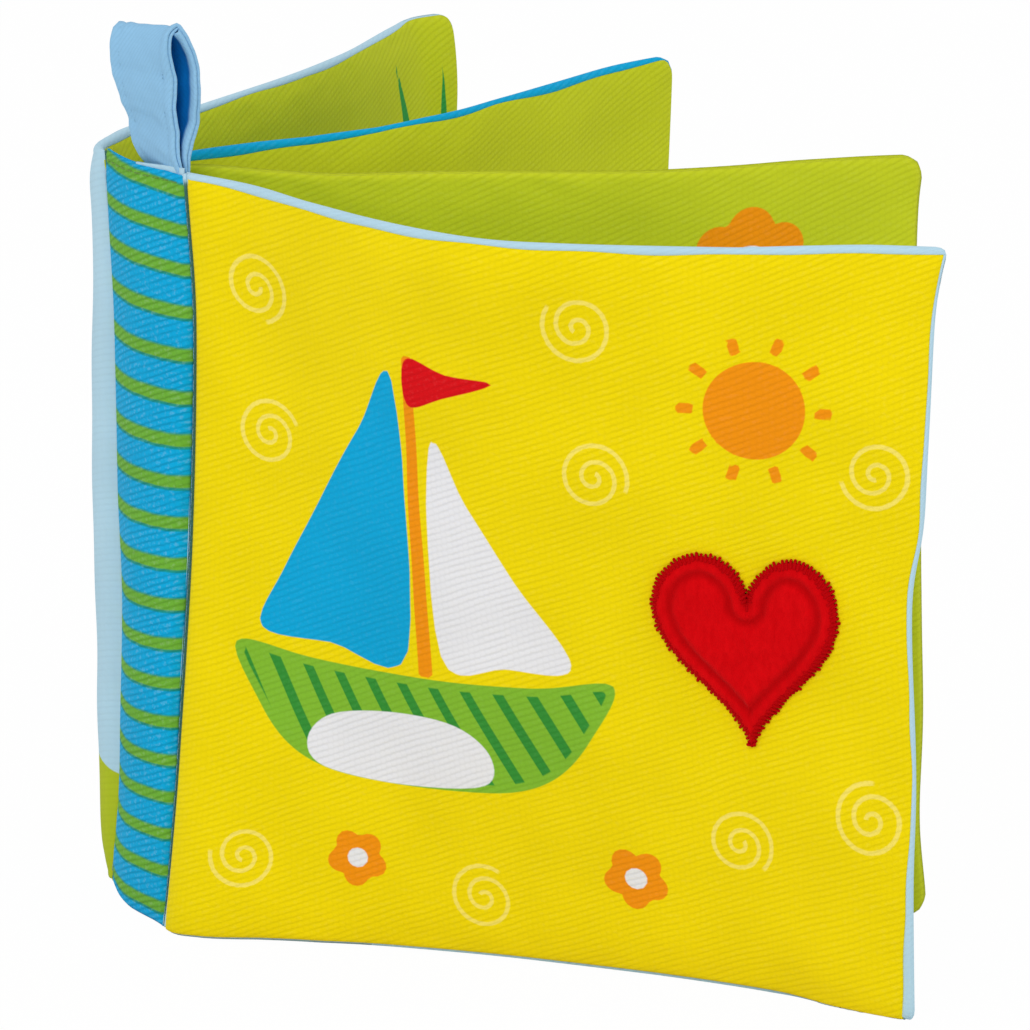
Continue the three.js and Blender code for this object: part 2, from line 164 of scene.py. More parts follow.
leaves = {
    "front_cover": {
        "length": 156.0, "angle": -50.0, "hinge": (0.0, -15.5), "drawIn": 2.0, "fill": 3.1, "crown": 0.9,
        "corner": 2.3,
        "bottom": [[0, 0], [0.08, -0.001], [0.19, 0.016], [0.3, 0.032], [0.48, 0.049], [0.76, 0.054],
                   [0.87, 0.034], [0.975, 0.022]],
        "top": [[0, 0], [0.09, -0.01], [0.19, -0.05], [0.355, -0.116], [0.475, -0.144], [0.575, -0.131],
                [0.73, -0.088], [0.895, -0.04], [1.005, -0.026]],
        "fore": [(0, -0.4), (18, -0.1), (30, -0.2), (43, 0.2), (52, 0.1), (62, -0.3), (74, -1.0),
                 (88, -1.5), (92, -0.2), (97, 0.6), (105, 0.4), (118, 0.3), (131, -0.1), (140, -0.4),
                 (146, 0.4), (150, 1.4)],
        "bulge": [(0, -4.0), (20, -3.0), (50, -1.6), (100, -1.0), (150, -0.4)],
        "crest": [(0, 1.35), (12, 0.8), (20, 0.55), (30, 0.15), (45, 0), (120, 0.05), (128, 0.4),
                  (134, 0.65), (142, 1.0), (156, 1.3)],
        "sole": [(0, 0.4), (8, 1.0), (20, 1.0), (32, 0.6), (100, 0.6), (125, 0.4), (145, 0), (156, 0)],
        "wave": 0.45, "seed": 11,
    },
    "page_1": {
        "length": 148.0, "angle": -26.5, "hinge": (3.2221, -2.6), "drawIn": 1.4, "fill": 2.4, "crown": 0.5,
        "corner": 4.6,
        "bottom": [[0, 0], [0.3, -0.014], [0.65, -0.034], [1.01, -0.05]],
        "top": [[0, 0], [0.05, -0.004], [0.13, -0.03], [0.22, -0.048], [0.32, -0.036], [0.42, -0.03],
                [0.664, -0.022], [0.85, 0.032], [0.963, 0.058], [1, 0.061]],
        "fore": [(0, 0.8), (7, 0.5), (14, -0.3), (22, -0.3), (30, 0.4), (40, 1.1), (85, 0.9),
                 (110, 0.1), (130, -0.8), (145, -0.6), (150, 0.7)],
        "wave": 0.35, "seed": 23,
    },
    "page_2": {
        "length": 148.0, "angle": 18.0, "hinge": (3.2221, 2.6), "drawIn": 1.4, "fill": 2.4, "crown": 0.5,
        "corner": 4.6,
        "bottom": [[0, 0], [0.35, 0.012], [0.7, 0.016], [1, 0.01]],
        "top": [[0, 0], [0.1, 0], [0.28, -0.012], [0.43, -0.032], [0.53, -0.034], [0.64, -0.016],
                [0.78, 0.008], [0.9, 0.026], [1, 0.024]],
        "fore": [(0, 0), (100, 1.0), (135, 3.0), (150, 3.2)],
        "crest": [(0, 0.9), (14, 0.6), (26, 0.2), (40, -0.5), (57, -0.6), (70, 0), (90, 0.3),
                  (110, 0.4), (148, 0.6)],
        "wave": 0.35, "seed": 37,
    },
    "back_cover": {
        "length": 156.0, "angle": 38.5, "hinge": (0.0, 15.5), "drawIn": 2.0, "fill": 3.1, "crown": 0.9,
        "corner": 3.4,
        "bottom": [[0, 0], [0.12, 0.018], [0.4, 0.026], [0.75, 0.02], [0.99, 0.012]],
        "top": [[0, 0], [0.04, 0.02], [0.09, 0.036], [0.167, 0.048], [0.316, 0.034], [0.5, 0.028],
                [0.663, 0.026], [0.775, 0.028], [0.93, 0.045], [0.996, 0.05], [1.05, 0.024]],
        "fore": [(0, 0), (100, 1.0), (125, 1.4), (150, 1.8)],
        "bulge": [(0, 1.6), (10, 3.6), (20, 5.0), (35, 6.0), (50, 5.8), (75, 5.0), (110, 4.2), (150, 2.1)],
        "curl": [(0, 0), (60, 0), (100, -2.0), (132, -3.8), (142, -2.6), (150, 0)],
        "wave": 0.45, "seed": 41,
    },
    "spine": {
        "length": 31.0, "angle": 90.0, "hinge": (0.0, -15.5), "drawIn": 0.0, "fill": 1.9, "crown": 0.0,
        "bottom": [[0, 0], [0.5, 2.7 / 31.0], [1, 0]],
        "top": [[0, 0], [0.5, 2.7 / 31.0], [1, 0]],
        "bulge": [(0, -0.8), (17, 0.2), (55, 2.2), (96, 1.8), (121, 0.4), (137, -0.6), (150, -1.2)],
        "wave": 0.2, "seed": 53,
    },
}
tableHeights = np.linspace(0, leafHeight, 61)
bulgeAt = 8.0  # way from the hinge to the top of a leaf's bulge


# A table of millimetres by height, with its corners rounded
def roundedTable(heights, values, passes):
    row = np.interp(tableHeights, heights, values)
    for _ in range(passes):
        row[1:-1] = (row[:-2] + 2 * row[1:-1] + row[2:]) / 4
    return row


for leaf in leaves.values():
    for key in ("bottom", "top"):
        line = lineThrough(np.array(leaf[key], float) * leaf["length"], 1601)
        steps = wayAlong(line)
        leaf[key + "Line"] = steps / steps[-1], line, np.gradient(line, steps, axis=0)
    for key in ("fore", "bulge", "curl"):
        leaf[key] = roundedTable(*zip(*leaf.get(key, [(0, 0), (150, 0)])), 6)

# How far the seams with the spine stray along X from their straight hinge lines, by height
strayHeights, strayReach = [0, 25, 50, 75, 100, 125, 150], 46.0
stray = {
    "front": roundedTable(strayHeights, [-3.2, -0.4, 1.6, 3.6, 4.7, 5.3, 3.4], 14),
    "back": roundedTable(strayHeights, [-0.8, 2.6, 3.5, 2.9, 2.8, 2.3, 0.4], 14),
}


def strayed(name, z):
    return np.interp(z, tableHeights, stray[name])


# How far the middle of the spine lies out of its place along X, by height
def spineMiddle(z):
    if "middle" not in stray:
        across = np.full(len(tableHeights), book["spineSpan"] / 2)
        stray["middle"] = leafPoint("spine", across, tableHeights, 0.0)[:, 0] + book["spineBow"]
    return strayed("middle", z)


def shiftByStray(name, x, z):
    if name == "spine":
        return mixed(strayed("front", z), strayed("back", z), np.clip(x / book["spineSpan"], 0, 1))
    shift = spineMiddle(z) if name.startswith("page") else strayed(name.split("_")[0], z)
    return shift * np.exp(-(np.maximum(x, 0) / strayReach) ** 2)


def roundCorners(leaf, x, y):
    if leaf["drawIn"] == 0:
        return x, y
    radius = leaf["corner"]
    u = np.clip((x - (leaf["length"] - radius)) / radius, 0, 1)
    low = y < leafHeight / 2
    v = np.clip(np.where(low, (radius - y) / radius, (y - (leafHeight - radius)) / radius), 0, 1)
    newU, newV = u * np.sqrt(1 - v * v / 2), v * np.sqrt(1 - u * u / 2)
    shiftY = (newV - v) * radius
    return x + (newU - u) * radius, y + np.where(low, -shiftY, shiftY)


# The point of a leaf at a way from its hinge, a height and a way out of its middle
def leafPoint(name, x, y, out):
    leaf = leaves[name]
    x, y = roundCorners(leaf, np.asarray(x, float), np.asarray(y, float))
    length, turn = leaf["length"], math.radians(leaf["angle"])
    across, up = np.clip(x / length, 0, 1), np.clip(y / leafHeight, 0, 1)
    share = np.clip(x * (1 - leaf["drawIn"] * np.sin(np.pi * up) / length) / length, 0, 1)
    height = y + book["drawUpShare"] * leaf["drawIn"] * np.sin(np.pi * across) * (1 - 2 * y / leafHeight)
    for key, weight in (("crest", smooth(y, 115, 150)), ("sole", 1 - smooth(y, 0, 30))):
        height = height + np.interp(x, *zip(*leaf.get(key, [(0, 0)]))) * weight
    if leaf["drawIn"]:
        height = np.maximum(height - book["footCut"], 0.04)
    fore, bulge, curl = (np.interp(y, tableHeights, leaf[key]) for key in ("fore", "bulge", "curl"))
    edges = []
    for key in ("bottomLine", "topLine"):
        shares, *tables = leaf[key]
        edges.append([columnsAt(share, shares, table) for table in tables])
    rise = (up ** book["warpRise"])[..., None]
    place, way = (mixed(low, top, rise) for low, top in zip(*edges))
    way = unit(way)
    out = out + leaf["wave"] * waviness(x, y, 62, leaf["seed"]) * np.clip(x / 12, 0, 1)
    beside = np.maximum(x, 0) / bulgeAt
    out = out + bulge * beside * np.exp(1 - beside) + curl * across ** 7
    place = place + way * (fore * across ** 4)[..., None]
    px = place[..., 0] - way[..., 1] * out
    py = place[..., 1] + way[..., 0] * out
    rowX = leaf["hinge"][0] + math.cos(turn) * px - math.sin(turn) * py + shiftByStray(name, x, height)
    rowY = leaf["hinge"][1] + math.sin(turn) * px + math.cos(turn) * py
    return np.stack([rowX, rowY, height], -1)


# Meshes from points

def buildMesh(name, points, faces, flat=None, values=None):
    mesh = bpy.data.meshes.new(name)
    mesh.from_pydata((np.asarray(points) * mm).tolist(), [], [list(map(int, f)) for f in faces])
    if flat is not None:
        spots = np.asarray(flat)[[corner.vertex_index for corner in mesh.loops]] / book["flatScale"]
        mesh.uv_layers.new(name="flat").data.foreach_set("uv", spots.astype(np.float32).ravel())
    for key, value in (values or {}).items():
        mesh.attributes.new(key, "FLOAT", "POINT").data.foreach_set("value", np.asarray(value, np.float32))
    mesh.polygons.foreach_set("use_smooth", [True] * len(mesh.polygons))
    mesh.validate()
    mesh.update()
    piece = bpy.data.objects.new(name, mesh)
    bpy.context.scene.collection.objects.link(piece)
    return piece


def selectOnly(*pieces):
    for other in bpy.context.selected_objects:
        other.select_set(False)
    for piece in pieces:
        bpy.context.view_layer.objects.active = piece
        piece.select_set(True)


def thicken(piece, thickness, offset=-1):
    modifier = piece.modifiers.new("solidify", "SOLIDIFY")
    modifier.thickness, modifier.offset = thickness * mm, offset
    selectOnly(piece)
    bpy.ops.object.modifier_apply(modifier=modifier.name)
    selectOnly()
    return piece


def pointOutwards(piece):
    selectOnly(piece)
    bpy.ops.object.mode_set(mode="EDIT")
    bpy.ops.mesh.select_all(action="SELECT")
    bpy.ops.mesh.normals_make_consistent(inside=False)
    bpy.ops.object.mode_set(mode="OBJECT")
    selectOnly()


# The faces of a grid of points, whose columns may close into a ring
def gridFaces(rows, columns, flip=False, start=0, ring=False):
    at = np.arange(rows * columns).reshape(rows, columns) + start
    if ring:
        at = np.concatenate([at, at[:, :1]], 1)
    a, b, c, d = at[:-1, :-1], at[:-1, 1:], at[1:, 1:], at[1:, :-1]
    return np.stack([a, d, c, b] if flip else [a, b, c, d], -1).reshape(-1, 4).tolist()


# A list of (x, y) for a grid of points
def listed(x, y):
    return np.stack([x, y], -1).reshape(-1, 2)


# Stations across a cloth: close together at both ends, even in between
def stations(total, near, far, step):
    first, last = near[-1], total - far[-1]
    middle = np.linspace(first, last, max(2, round((last - first) / step)) + 1)
    return np.concatenate([near[:-1], middle, total - np.array(far[:-1])[::-1]])


clothCut = {
    "hingeStart": 0.35,
    "rollInset": 1.6,  # where the rolled cloth leaves the back of a leaf
    "thickness": 0.5,
    "step": 1.05,
    "rollBack": (1.1, 0.75, 0.45, 0.22, 0.08, 0.01),  # ways from the outer edge, on the back side
    "rollFront": (0.15, 0.4, 0.65, 0.85, 1.0),  # shares of the hem's width, on the front side
    "cornerSpread": 4.0,  # how far round a corner the rows of the roll fan out
    "seamRows": [0.0, 0.15, 0.35, 0.65, 1.05, 1.6, 2.4, 3.4, 4.6],
    "hingeRows": [0.0, 0.35, 0.75, 1.3, 2.1, 3.1, 4.3],
    "rollRows": [0.0, 0.8, 1.7, 2.8, 4.0],
    "liningRows": [0.0, 0.5, 1.3, 2.3],
}
hingeStart, step, seamRows = (clothCut[key] for key in ("hingeStart", "step", "seamRows"))


# The least of some distances, with the corners between them rounded
def nearest(*distances):
    sharp = 0.9
    return -np.log(sum(np.exp(-sharp * np.clip(d, -5, 40)) for d in distances)) / sharp


# How far the other side's cloth comes over each edge to the front side, in millimetres
def hemWidths(hems, x, y, seed):
    wobble = 0.24 * waviness(x, y, 19, seed)
    top, fore = (np.interp(share, np.linspace(0, 1, len(hems[key])), hems[key])
                 for key, share in (("top", x / book["coverLength"]), ("fore", y / leafHeight)))
    return [np.where(width < 0, width, np.maximum(width + wobble * np.clip(width, 0, 1), 0.05))
            for width in (np.full(np.shape(x), hems["bottom"]), top, fore)]


# A leaf's half thickness where its two cloths are sewn together, by distance from the outer edge
def edgeRise(edge):
    return np.sqrt(1 - (1 - np.clip(edge / book["edgeRound"], 0, 1)) ** 2)


def seamRise(edge, distance):
    return np.maximum(edgeRise(edge) - book["seamDip"] * np.exp(-np.maximum(distance, 0) / 0.35), 0.02)


def hingeRise(distance):
    tucked = 0.25 + 0.75 * (1 - np.exp(-np.maximum(distance, 0) / 0.55))
    return tucked * np.clip(0.2 + distance / 1.2, 0.05, 1)


padding = {
    "seamHalf": 1.0,  # half thickness of the sewn cloths
    "over": 0.75,  # how much further out than half of the filling the cloth lies
    "riseOver": 9.5,  # how far from its seams the cloth reaches the full padding
    "risePower": 2.3,
    "pucker": 0.16,
    "puckerLength": 7.5,
    "puckerReach": 5.5,
    "crease": 0.14,
    "creaseLength": 24,
}


# The face that shows on one side of a leaf, by distance from the seams and from the outer edge
def clothFace(name, side, x, y, distance, fromHinge, edge=None):
    leaf = leaves[name]
    across, up = (np.sin(np.pi * np.clip(way, 0, 1)) for way in (x / leaf["length"], y / leafHeight))
    seamHalf, seed = padding["seamHalf"], leaf["seed"] + side
    full = leaf["fill"] / 2 + padding["over"] + leaf["crown"] * (across * up) - seamHalf
    base = np.minimum(seamHalf if edge is None else seamRise(edge, distance), hingeRise(fromHinge))
    risen = np.clip(nearest(distance, fromHinge + 0.6) / padding["riseOver"], 0, 1)
    rise = 1 - (1 - risen) ** padding["risePower"]
    pucker = padding["pucker"] * waviness(x, y, padding["puckerLength"], seed + 5)
    pucker = pucker * np.exp(-np.maximum(distance, 0) / padding["puckerReach"])
    pucker = pucker * smooth(distance, 0.3, 2.0) * smooth(fromHinge, 0.4, 2.0)
    crease = padding["crease"] * waviness(x, y, padding["creaseLength"], seed + 9) * rise
    return side * (base + full * rise + pucker + crease)


# Distance from the sewn edges of a leaf, whose spine has none at its two ends
def sewnDistance(name, x, y, low=0, high=0, fore=0):
    ends = [] if name == "spine" else [leaves[name]["length"] - fore - x]
    return nearest(y - low, leafHeight - high - y, *ends)


def hingeDistance(name, x):
    return (np.minimum(x, leaves[name]["length"] - x) if name == "spine" else x) - hingeStart


def frontFace(name, x, y, hems):
    return clothFace(name, -1, x, y, sewnDistance(name, x, y, *hems), hingeDistance(name, x),
                     sewnDistance(name, x, y))


# Where the front cloth's edge lies, for a point that would be on the leaf's outer edge
def seamPlace(name, hems, x, y):
    leaf = leaves[name]
    low, high, fore = hemWidths(hems, x, y, leaf["seed"])
    y = low + y * (leafHeight - low - high) / leafHeight
    if name != "spine":
        free = leaf["length"] - hingeStart
        x = hingeStart + (x - hingeStart) * (free - fore) / free
    return x, y, (low, high, fore)


# A cloth's mesh, with its print layers as attributes and its weave mirrored for the back side
def makeCloth(pieceName, points, faces, flat, masks, side=1):
    found = {key: measure(flat[:, 0], flat[:, 1]) for key, measure in (masks or {}).items()}
    return thicken(buildMesh(pieceName, points, faces, flat * (side, 1), found), clothCut["thickness"])


# Cloth on the front side of a leaf, sewn to the other side's cloth along the hems
def tuckedCloth(name, pieceName, hems, masks=None, xs=None):
    if xs is None:
        free = leaves[name]["length"] - hingeStart
        xs = hingeStart + stations(free, clothCut["hingeRows"], seamRows, step)
    gx, gy = np.meshgrid(xs, stations(leafHeight, seamRows, seamRows, step))
    x, y, widths = seamPlace(name, hems, gx, gy)
    points = leafPoint(name, x, y, frontFace(name, x, y, widths)).reshape(-1, 3)
    return makeCloth(pieceName, points, gridFaces(*gx.shape), listed(x, y), masks)


# The rows of a rolled cloth from the back side round the outer edge to the front cloth's hem:
# each is an x, a y and a share of the leaf's half thickness
def rollRowsAt(name, hems, bx, by, dx, dy):
    inset = clothCut["rollInset"]
    outerX, outerY = bx + dx * inset, by + dy * inset
    seamX, seamY, _ = seamPlace(name, hems, outerX, outerY)
    gap = np.hypot(seamX - outerX, seamY - outerY)
    rows = [(bx + dx * (inset - e), by + dy * (inset - e), edgeRise(e)) for e in clothCut["rollBack"]]
    for share in (*clothCut["rollFront"], 1 + 0.1 / gap):
        px, py = mixed(outerX, seamX, share), mixed(outerY, seamY, share)
        edge = sewnDistance(name, px, py)
        under = len(rows) == len(clothCut["rollBack"]) + len(clothCut["rollFront"])
        rise = np.maximum(edgeRise(edge) - 0.5, 0.0) if under else seamRise(edge, (1 - share) * gap)
        rows.append((px, py, -rise))
    return rows


# Cloth on the back side of a leaf, which comes over the edges to the front side
def rolledCloth(name, pieceName, hems, masks=None):
    inset, hingeRows, rollRows = (clothCut[key] for key in ("rollInset", "hingeRows", "rollRows"))
    length, spine = leaves[name]["length"], name == "spine"
    span = length - 2 * hingeStart if spine else length - inset - hingeStart
    xs = hingeStart + stations(span, hingeRows, hingeRows if spine else rollRows, step)
    ys = inset + stations(leafHeight - 2 * inset, rollRows, rollRows, step)
    x, y = np.meshgrid(xs, ys)
    out = clothFace(name, 1, x, y, sewnDistance(name, x, y, inset, inset, inset), hingeDistance(name, x))
    points, flat = [leafPoint(name, x, y, out).reshape(-1, 3)], [listed(x, y)]
    faces = gridFaces(*x.shape, flip=True)
    at = np.arange(x.size).reshape(x.shape)
    borders = [at[0, :], at[-1, ::-1]]
    if not spine:
        borders = [np.concatenate([at[0, :], at[1:, -1], at[-1, -2::-1]])]
    total, right, spread = x.size, length - inset, clothCut["cornerSpread"]
    for last in borders:
        bx, by = x.ravel()[last], y.ravel()[last]
        toCorner = 0 if spine else np.clip((bx - (right - spread)) / spread, 0, 1)
        upCorner = np.clip((by - (ys[-1] - spread)) / spread, 0, 1) - np.clip(
            ((ys[0] + spread) - by) / spread, 0, 1)
        dx = np.where(np.isclose(bx, right) & (not spine), 1.0, toCorner)
        dy = np.where(np.isclose(by, ys[0]), -1.0, np.where(np.isclose(by, ys[-1]), 1.0, upCorner))
        limit = hingeRise(hingeDistance(name, bx))
        before, arc = (bx, by, 1.0), np.zeros(len(bx))
        for row in rollRowsAt(name, hems, bx, by, dx, dy):
            arc = arc + np.sqrt(sum((new - old) ** 2 for new, old in zip(row, before)))
            before = row
            points.append(leafPoint(name, *row[:2], np.clip(row[2], -limit, limit)))
            flat.append(np.stack([bx + dx * arc, by + dy * arc], -1))
            ring = np.arange(len(bx)) + total
            total += len(bx)
            faces += np.stack([last[:-1], last[1:], ring[1:], ring[:-1]], -1).tolist()
            last = ring
    return makeCloth(pieceName, np.concatenate(points), faces, np.concatenate(flat), masks, side=-1)


# Wadding and crinkle film between the two cloths of a leaf

fillCut = {
    "inset": 14.0,
    "step": 2.6,
    "edgeRun": 5,  # how far in from its edge a filling has its full thickness
    "gap": 0.55,  # between the wadding and the cloth
    "filmGap": 1.1,  # between the wadding and the cloth where the film lies
    "rough": 0.12,
    "filmPlace": 0.62,  # how far below the cloth the film lies
    "filmThickness": 0.12,
    "crumple": 0.1,
    "crumpleLengths": (16, 9, 6),
}


def fillGrid(name):
    leaf = leaves[name]
    inset = min(fillCut["inset"], leaf["length"] * 0.3)
    count = max(4, round((leaf["length"] - 2 * inset) / fillCut["step"]))
    xs = np.linspace(inset, leaf["length"] - inset, count + 1)
    ys = np.linspace(inset, leafHeight - inset, round((leafHeight - 2 * inset) / fillCut["step"]) + 1)
    x, y = np.meshgrid(xs, ys)
    swell = np.sin(np.pi * x / leaf["length"]) * np.sin(np.pi * y / leafHeight)
    half = leaf["fill"] / 2 - 0.15 + leaf["crown"] * swell
    edge = np.minimum(np.minimum(x - xs[0], xs[-1] - x), np.minimum(y - ys[0], ys[-1] - y))
    return x, y, half, np.sqrt(np.clip(edge / fillCut["edgeRun"], 0, 1)), leaf["seed"]


def makeWadding(name):
    x, y, half, edge, seed = fillGrid(name)
    rough = fillCut["rough"] * waviness(x, y, 8, seed + 70)
    front = -(half - fillCut["gap"] + rough) * edge - 0.06
    back = (half - fillCut["gap" if name == "spine" else "filmGap"] + rough) * edge + 0.06
    points = np.concatenate([leafPoint(name, x, y, out).reshape(-1, 3) for out in (front, back)])
    faces = gridFaces(*x.shape) + gridFaces(*x.shape, flip=True, start=x.size)
    at = np.arange(x.size).reshape(x.shape)
    border = np.concatenate([at[0, :], at[1:, -1], at[-1, -2::-1], at[-2:0:-1, 0]])
    for here, there in zip(border, np.roll(border, -1)):
        faces.append([there, here, here + x.size, there + x.size])
    piece = buildMesh(name + "_fill", points, faces, np.tile(listed(x, y), (2, 1)))
    return piece


def makeFilm(name):
    x, y, half, edge, seed = fillGrid(name)
    crumples = enumerate(fillCut["crumpleLengths"], seed + 90)
    sharp = sum(np.abs(waviness(x, y, wavelength, draw)) for draw, wavelength in crumples)
    out = half - fillCut["filmPlace"] - fillCut["crumple"] * sharp
    points = leafPoint(name, x, y, out * (0.3 + 0.7 * edge)).reshape(-1, 3)
    piece = buildMesh(name + "_film", points, gridFaces(*x.shape), listed(x, y))
    thicken(piece, fillCut["filmThickness"], 0)
    float(np.ptp(x)) * mm
    float(np.ptp(y)) * mm
    return piece


# Small helpers for node materials

def feed(tree, socket, value):
    if isinstance(value, bpy.types.NodeSocket):
        tree.links.new(value, socket)
    else:
        socket.default_value = value


def addNode(tree, kind, inputs=None, **settings):
    node = tree.nodes.new("ShaderNode" + kind)
    for key, setting in settings.items():
        setattr(node, key, setting)
    for key, value in (inputs or {}).items():
        feed(tree, node.inputs[key], value)
    return node


def mathNode(tree, operation, *values):
    return addNode(tree, "Math", dict(enumerate(values)), operation=operation).outputs[0]


def rangeNode(tree, value, low, high, toLow=0.0, toHigh=1.0):
    inputs = {"Value": value, "From Min": low, "From Max": high, "To Min": toLow, "To Max": toHigh}
    return addNode(tree, "MapRange", inputs, interpolation_type="SMOOTHSTEP").outputs["Result"]


# A mix node's factor and its two colours are its inputs 0, 6 and 7
def mixColour(tree, share, first, second, blendType="MIX"):
    inputs = {0: share, 6: first, 7: second}
    return addNode(tree, "Mix", inputs, data_type="RGBA", blend_type=blendType).outputs[2]


def noiseNode(tree, vector, scale, detail=2.0, roughness=0.5):
    inputs = {"Vector": vector, "Scale": scale, "Detail": detail, "Roughness": roughness}
    return addNode(tree, "TexNoise", inputs).outputs["Fac"]


def scaledVector(tree, vector, factors):
    return addNode(tree, "Mapping", {"Vector": vector, "Scale": factors}).outputs["Vector"]


def attributeNode(tree, name):
    return addNode(tree, "Attribute", attribute_name=name).outputs["Fac"]


def objectPlace(tree):
    return addNode(tree, "TexCoord").outputs["Object"]


# A node group whose input Flat is a place in millimetres and whose other sockets are numbers
def nodeGroup(name, inputs, outputs):
    group = bpy.data.node_groups.new(name, "ShaderNodeTree")
    for direction, keys in (("INPUT", inputs), ("OUTPUT", outputs)):
        for key in keys:
            kind = "NodeSocketVector" if key == "Flat" else "NodeSocketFloat"
            group.interface.new_socket(key, in_out=direction, socket_type=kind)
    entry, result = (group.nodes.new("NodeGroup" + kind) for kind in ("Input", "Output"))
    return group, entry.outputs, result.inputs


# A material. build(tree) gives its colour and its bump's height, strength and distance
def makeMaterial(name, build, settings):
    material = bpy.data.materials.new(name)
    material.use_nodes = True
    tree = material.node_tree
    colour, height, strength, distance = build(tree)
    bump = addNode(tree, "Bump", {"Strength": strength, "Distance": distance, "Height": height})
    inputs = tree.nodes["Principled BSDF"].inputs
    for key, value in {"Base Color": colour, "Normal": bump.outputs[0], **settings}.items():
        feed(tree, inputs[key], value)
    return material


# Twill weave: slanting wales of short yarn floats, with fibre noise. Lengths in millimetres
def twillGroup(name, along, up, floatLength):
    group, entry, result = nodeGroup(name, ["Flat"], ["Height", "Fleck"])
    op, noise = partial(mathNode, group), partial(noiseNode, group, entry["Flat"])
    x, y, _ = addNode(group, "SeparateXYZ", {0: entry["Flat"]}).outputs
    phase = op("MULTIPLY_ADD", x, along, op("MULTIPLY", y, up))
    phase = op("MULTIPLY_ADD", noise(0.07, 1.0), 0.9, phase)
    phase = op("MULTIPLY_ADD", noise(1.2, 1.0), 0.26, phase)
    ridge = op("SINE", op("MULTIPLY", op("FRACT", phase), math.pi))
    clear = rangeNode(group, noise(0.2, 2.0), 0.32, 0.68, 0.45, 1.4)
    ridge = op("MULTIPLY_ADD", op("SUBTRACT", ridge, 2 / math.pi), clear, 2 / math.pi)
    size = math.hypot(along, up) * floatLength
    travel = op("MULTIPLY_ADD", x, -up / size, op("MULTIPLY", y, along / size))
    travel = op("MULTIPLY_ADD", op("FLOOR", phase), 0.37, travel)
    crossing = op("POWER", op("SINE", op("MULTIPLY", op("FRACT", travel), math.pi)), 0.5)
    fibre = noiseNode(group, scaledVector(group, entry["Flat"], (1.0, 2.6, 1.0)), 2.3, 3.0, 0.7)
    height = op("MULTIPLY", ridge, op("MULTIPLY_ADD", crossing, 0.45, 0.55))
    feed(group, result["Height"], op("MULTIPLY_ADD", fibre, 0.35, height))
    patch = op("MULTIPLY_ADD", ridge, 0.16, noise(0.9, 4.0, 0.65))
    feed(group, result["Fleck"], rangeNode(group, patch, 0.62, 0.8))
    return group


twill = {
    "group": twillGroup("twill", 0.31, -0.757, 1.25),
    "bump": 0.22,
    "bumpDistance": 0.0002,
    "groove": 0.09,  # how much painted shade darkens the cloth between the wales
    "fleck": 0.012,  # how much undyed fibre shows
    "shader": {"Roughness": 0.9, "Specular IOR Level": 0.1, "Sheen Weight": 0.03, "Sheen Roughness": 0.45},
}


# A cloth material. dye(tree, flat) gives its colour, before the weave shades it
def clothMaterial(name, dye, changes=None):
    settings = {**twill, **(changes or {})}
    groove = settings["groove"]

    def build(tree):
        uv = addNode(tree, "UVMap", uv_map="flat")
        flat = scaledVector(tree, uv.outputs[0], (book["flatScale"],) * 3)
        weave = addNode(tree, "Group", {"Flat": flat}, node_tree=settings["group"])
        height, fleck = weave.outputs["Height"], weave.outputs["Fleck"]
        base = dye(tree, flat) if callable(dye) else linear(dye)
        # Painted shade: the weave's low parts are darkened
        shade = rangeNode(tree, height, 0.15, 1.05, 1 - groove, 1 + groove * 0.35)
        cloudy = rangeNode(tree, noiseNode(tree, flat, 0.05, 3.0), 0.3, 0.7, 0.97, 1.02)
        shade = mathNode(tree, "MULTIPLY", shade, cloudy)
        fleck = mathNode(tree, "MULTIPLY", fleck, settings["fleck"])
        colour = mixColour(tree, fleck, base, (0.9, 0.9, 0.88, 1))
        grey = addNode(tree, "CombineColor", dict.fromkeys(range(3), shade))
        colour = mixColour(tree, 1.0, colour, grey.outputs[0], "MULTIPLY")
        return colour, height, settings["bump"], settings["bumpDistance"]

    return makeMaterial(name, build, settings["shader"])


# A material whose noise mixes two colours and raises its bump
def noisyMaterial(name, colours, noise, bumpDistance, roughness):
    def build(tree):
        grain = noiseNode(tree, objectPlace(tree), *noise)
        return mixColour(tree, grain, *map(linear, colours)), grain, 1.0, bumpDistance

    return makeMaterial(name, build, {"Roughness": roughness})


def threadMaterial(name, colour, dark=0.7, gloss=0.2):
    def build(tree):
        inputs = {"Vector": objectPlace(tree), "Scale": 900.0, "Distortion": 2.0}
        twist = addNode(tree, "TexWave", inputs, bands_direction="DIAGONAL").outputs["Fac"]
        # Painted shade: the twist's low parts are darkened by the share dark
        return mixColour(tree, twist, linear(colour, dark), linear(colour)), twist, 0.5, 0.0001

    return makeMaterial(name, build, {"Roughness": 0.7, "Specular IOR Level": gloss})


# Print layers: each is a signed distance, in millimetres, kept at the mesh's vertices
printEdge = 0.16


def printed(tree, under, name, colour):
    share = rangeNode(tree, attributeNode(tree, name), printEdge, -printEdge)
    if isinstance(colour, str):
        colour = linear(colour)
    return mixColour(tree, share, under, colour)


def polygonDistance(points):
    corners = np.array(points, float)

    def measure(x, y):
        p = listed(x, y)
        nearestSquare, inside = np.full(len(p), 1e9), np.zeros(len(p), bool)
        for a, b in zip(corners, np.roll(corners, -1, axis=0)):
            edge, toPoint = b - a, p - a
            t = np.clip(toPoint @ edge / max(edge @ edge, 1e-9), 0, 1)
            nearestSquare = np.minimum(nearestSquare, ((toPoint - t[:, None] * edge) ** 2).sum(1))
            if a[1] != b[1]:
                crosses = (a[1] > p[:, 1]) != (b[1] > p[:, 1])
                inside ^= crosses & (p[:, 0] < (b[0] - a[0]) * (p[:, 1] - a[1]) / (b[1] - a[1]) + a[0])
        distance = np.sqrt(nearestSquare)
        return np.where(inside, -distance, distance).reshape(np.shape(x))

    return measure


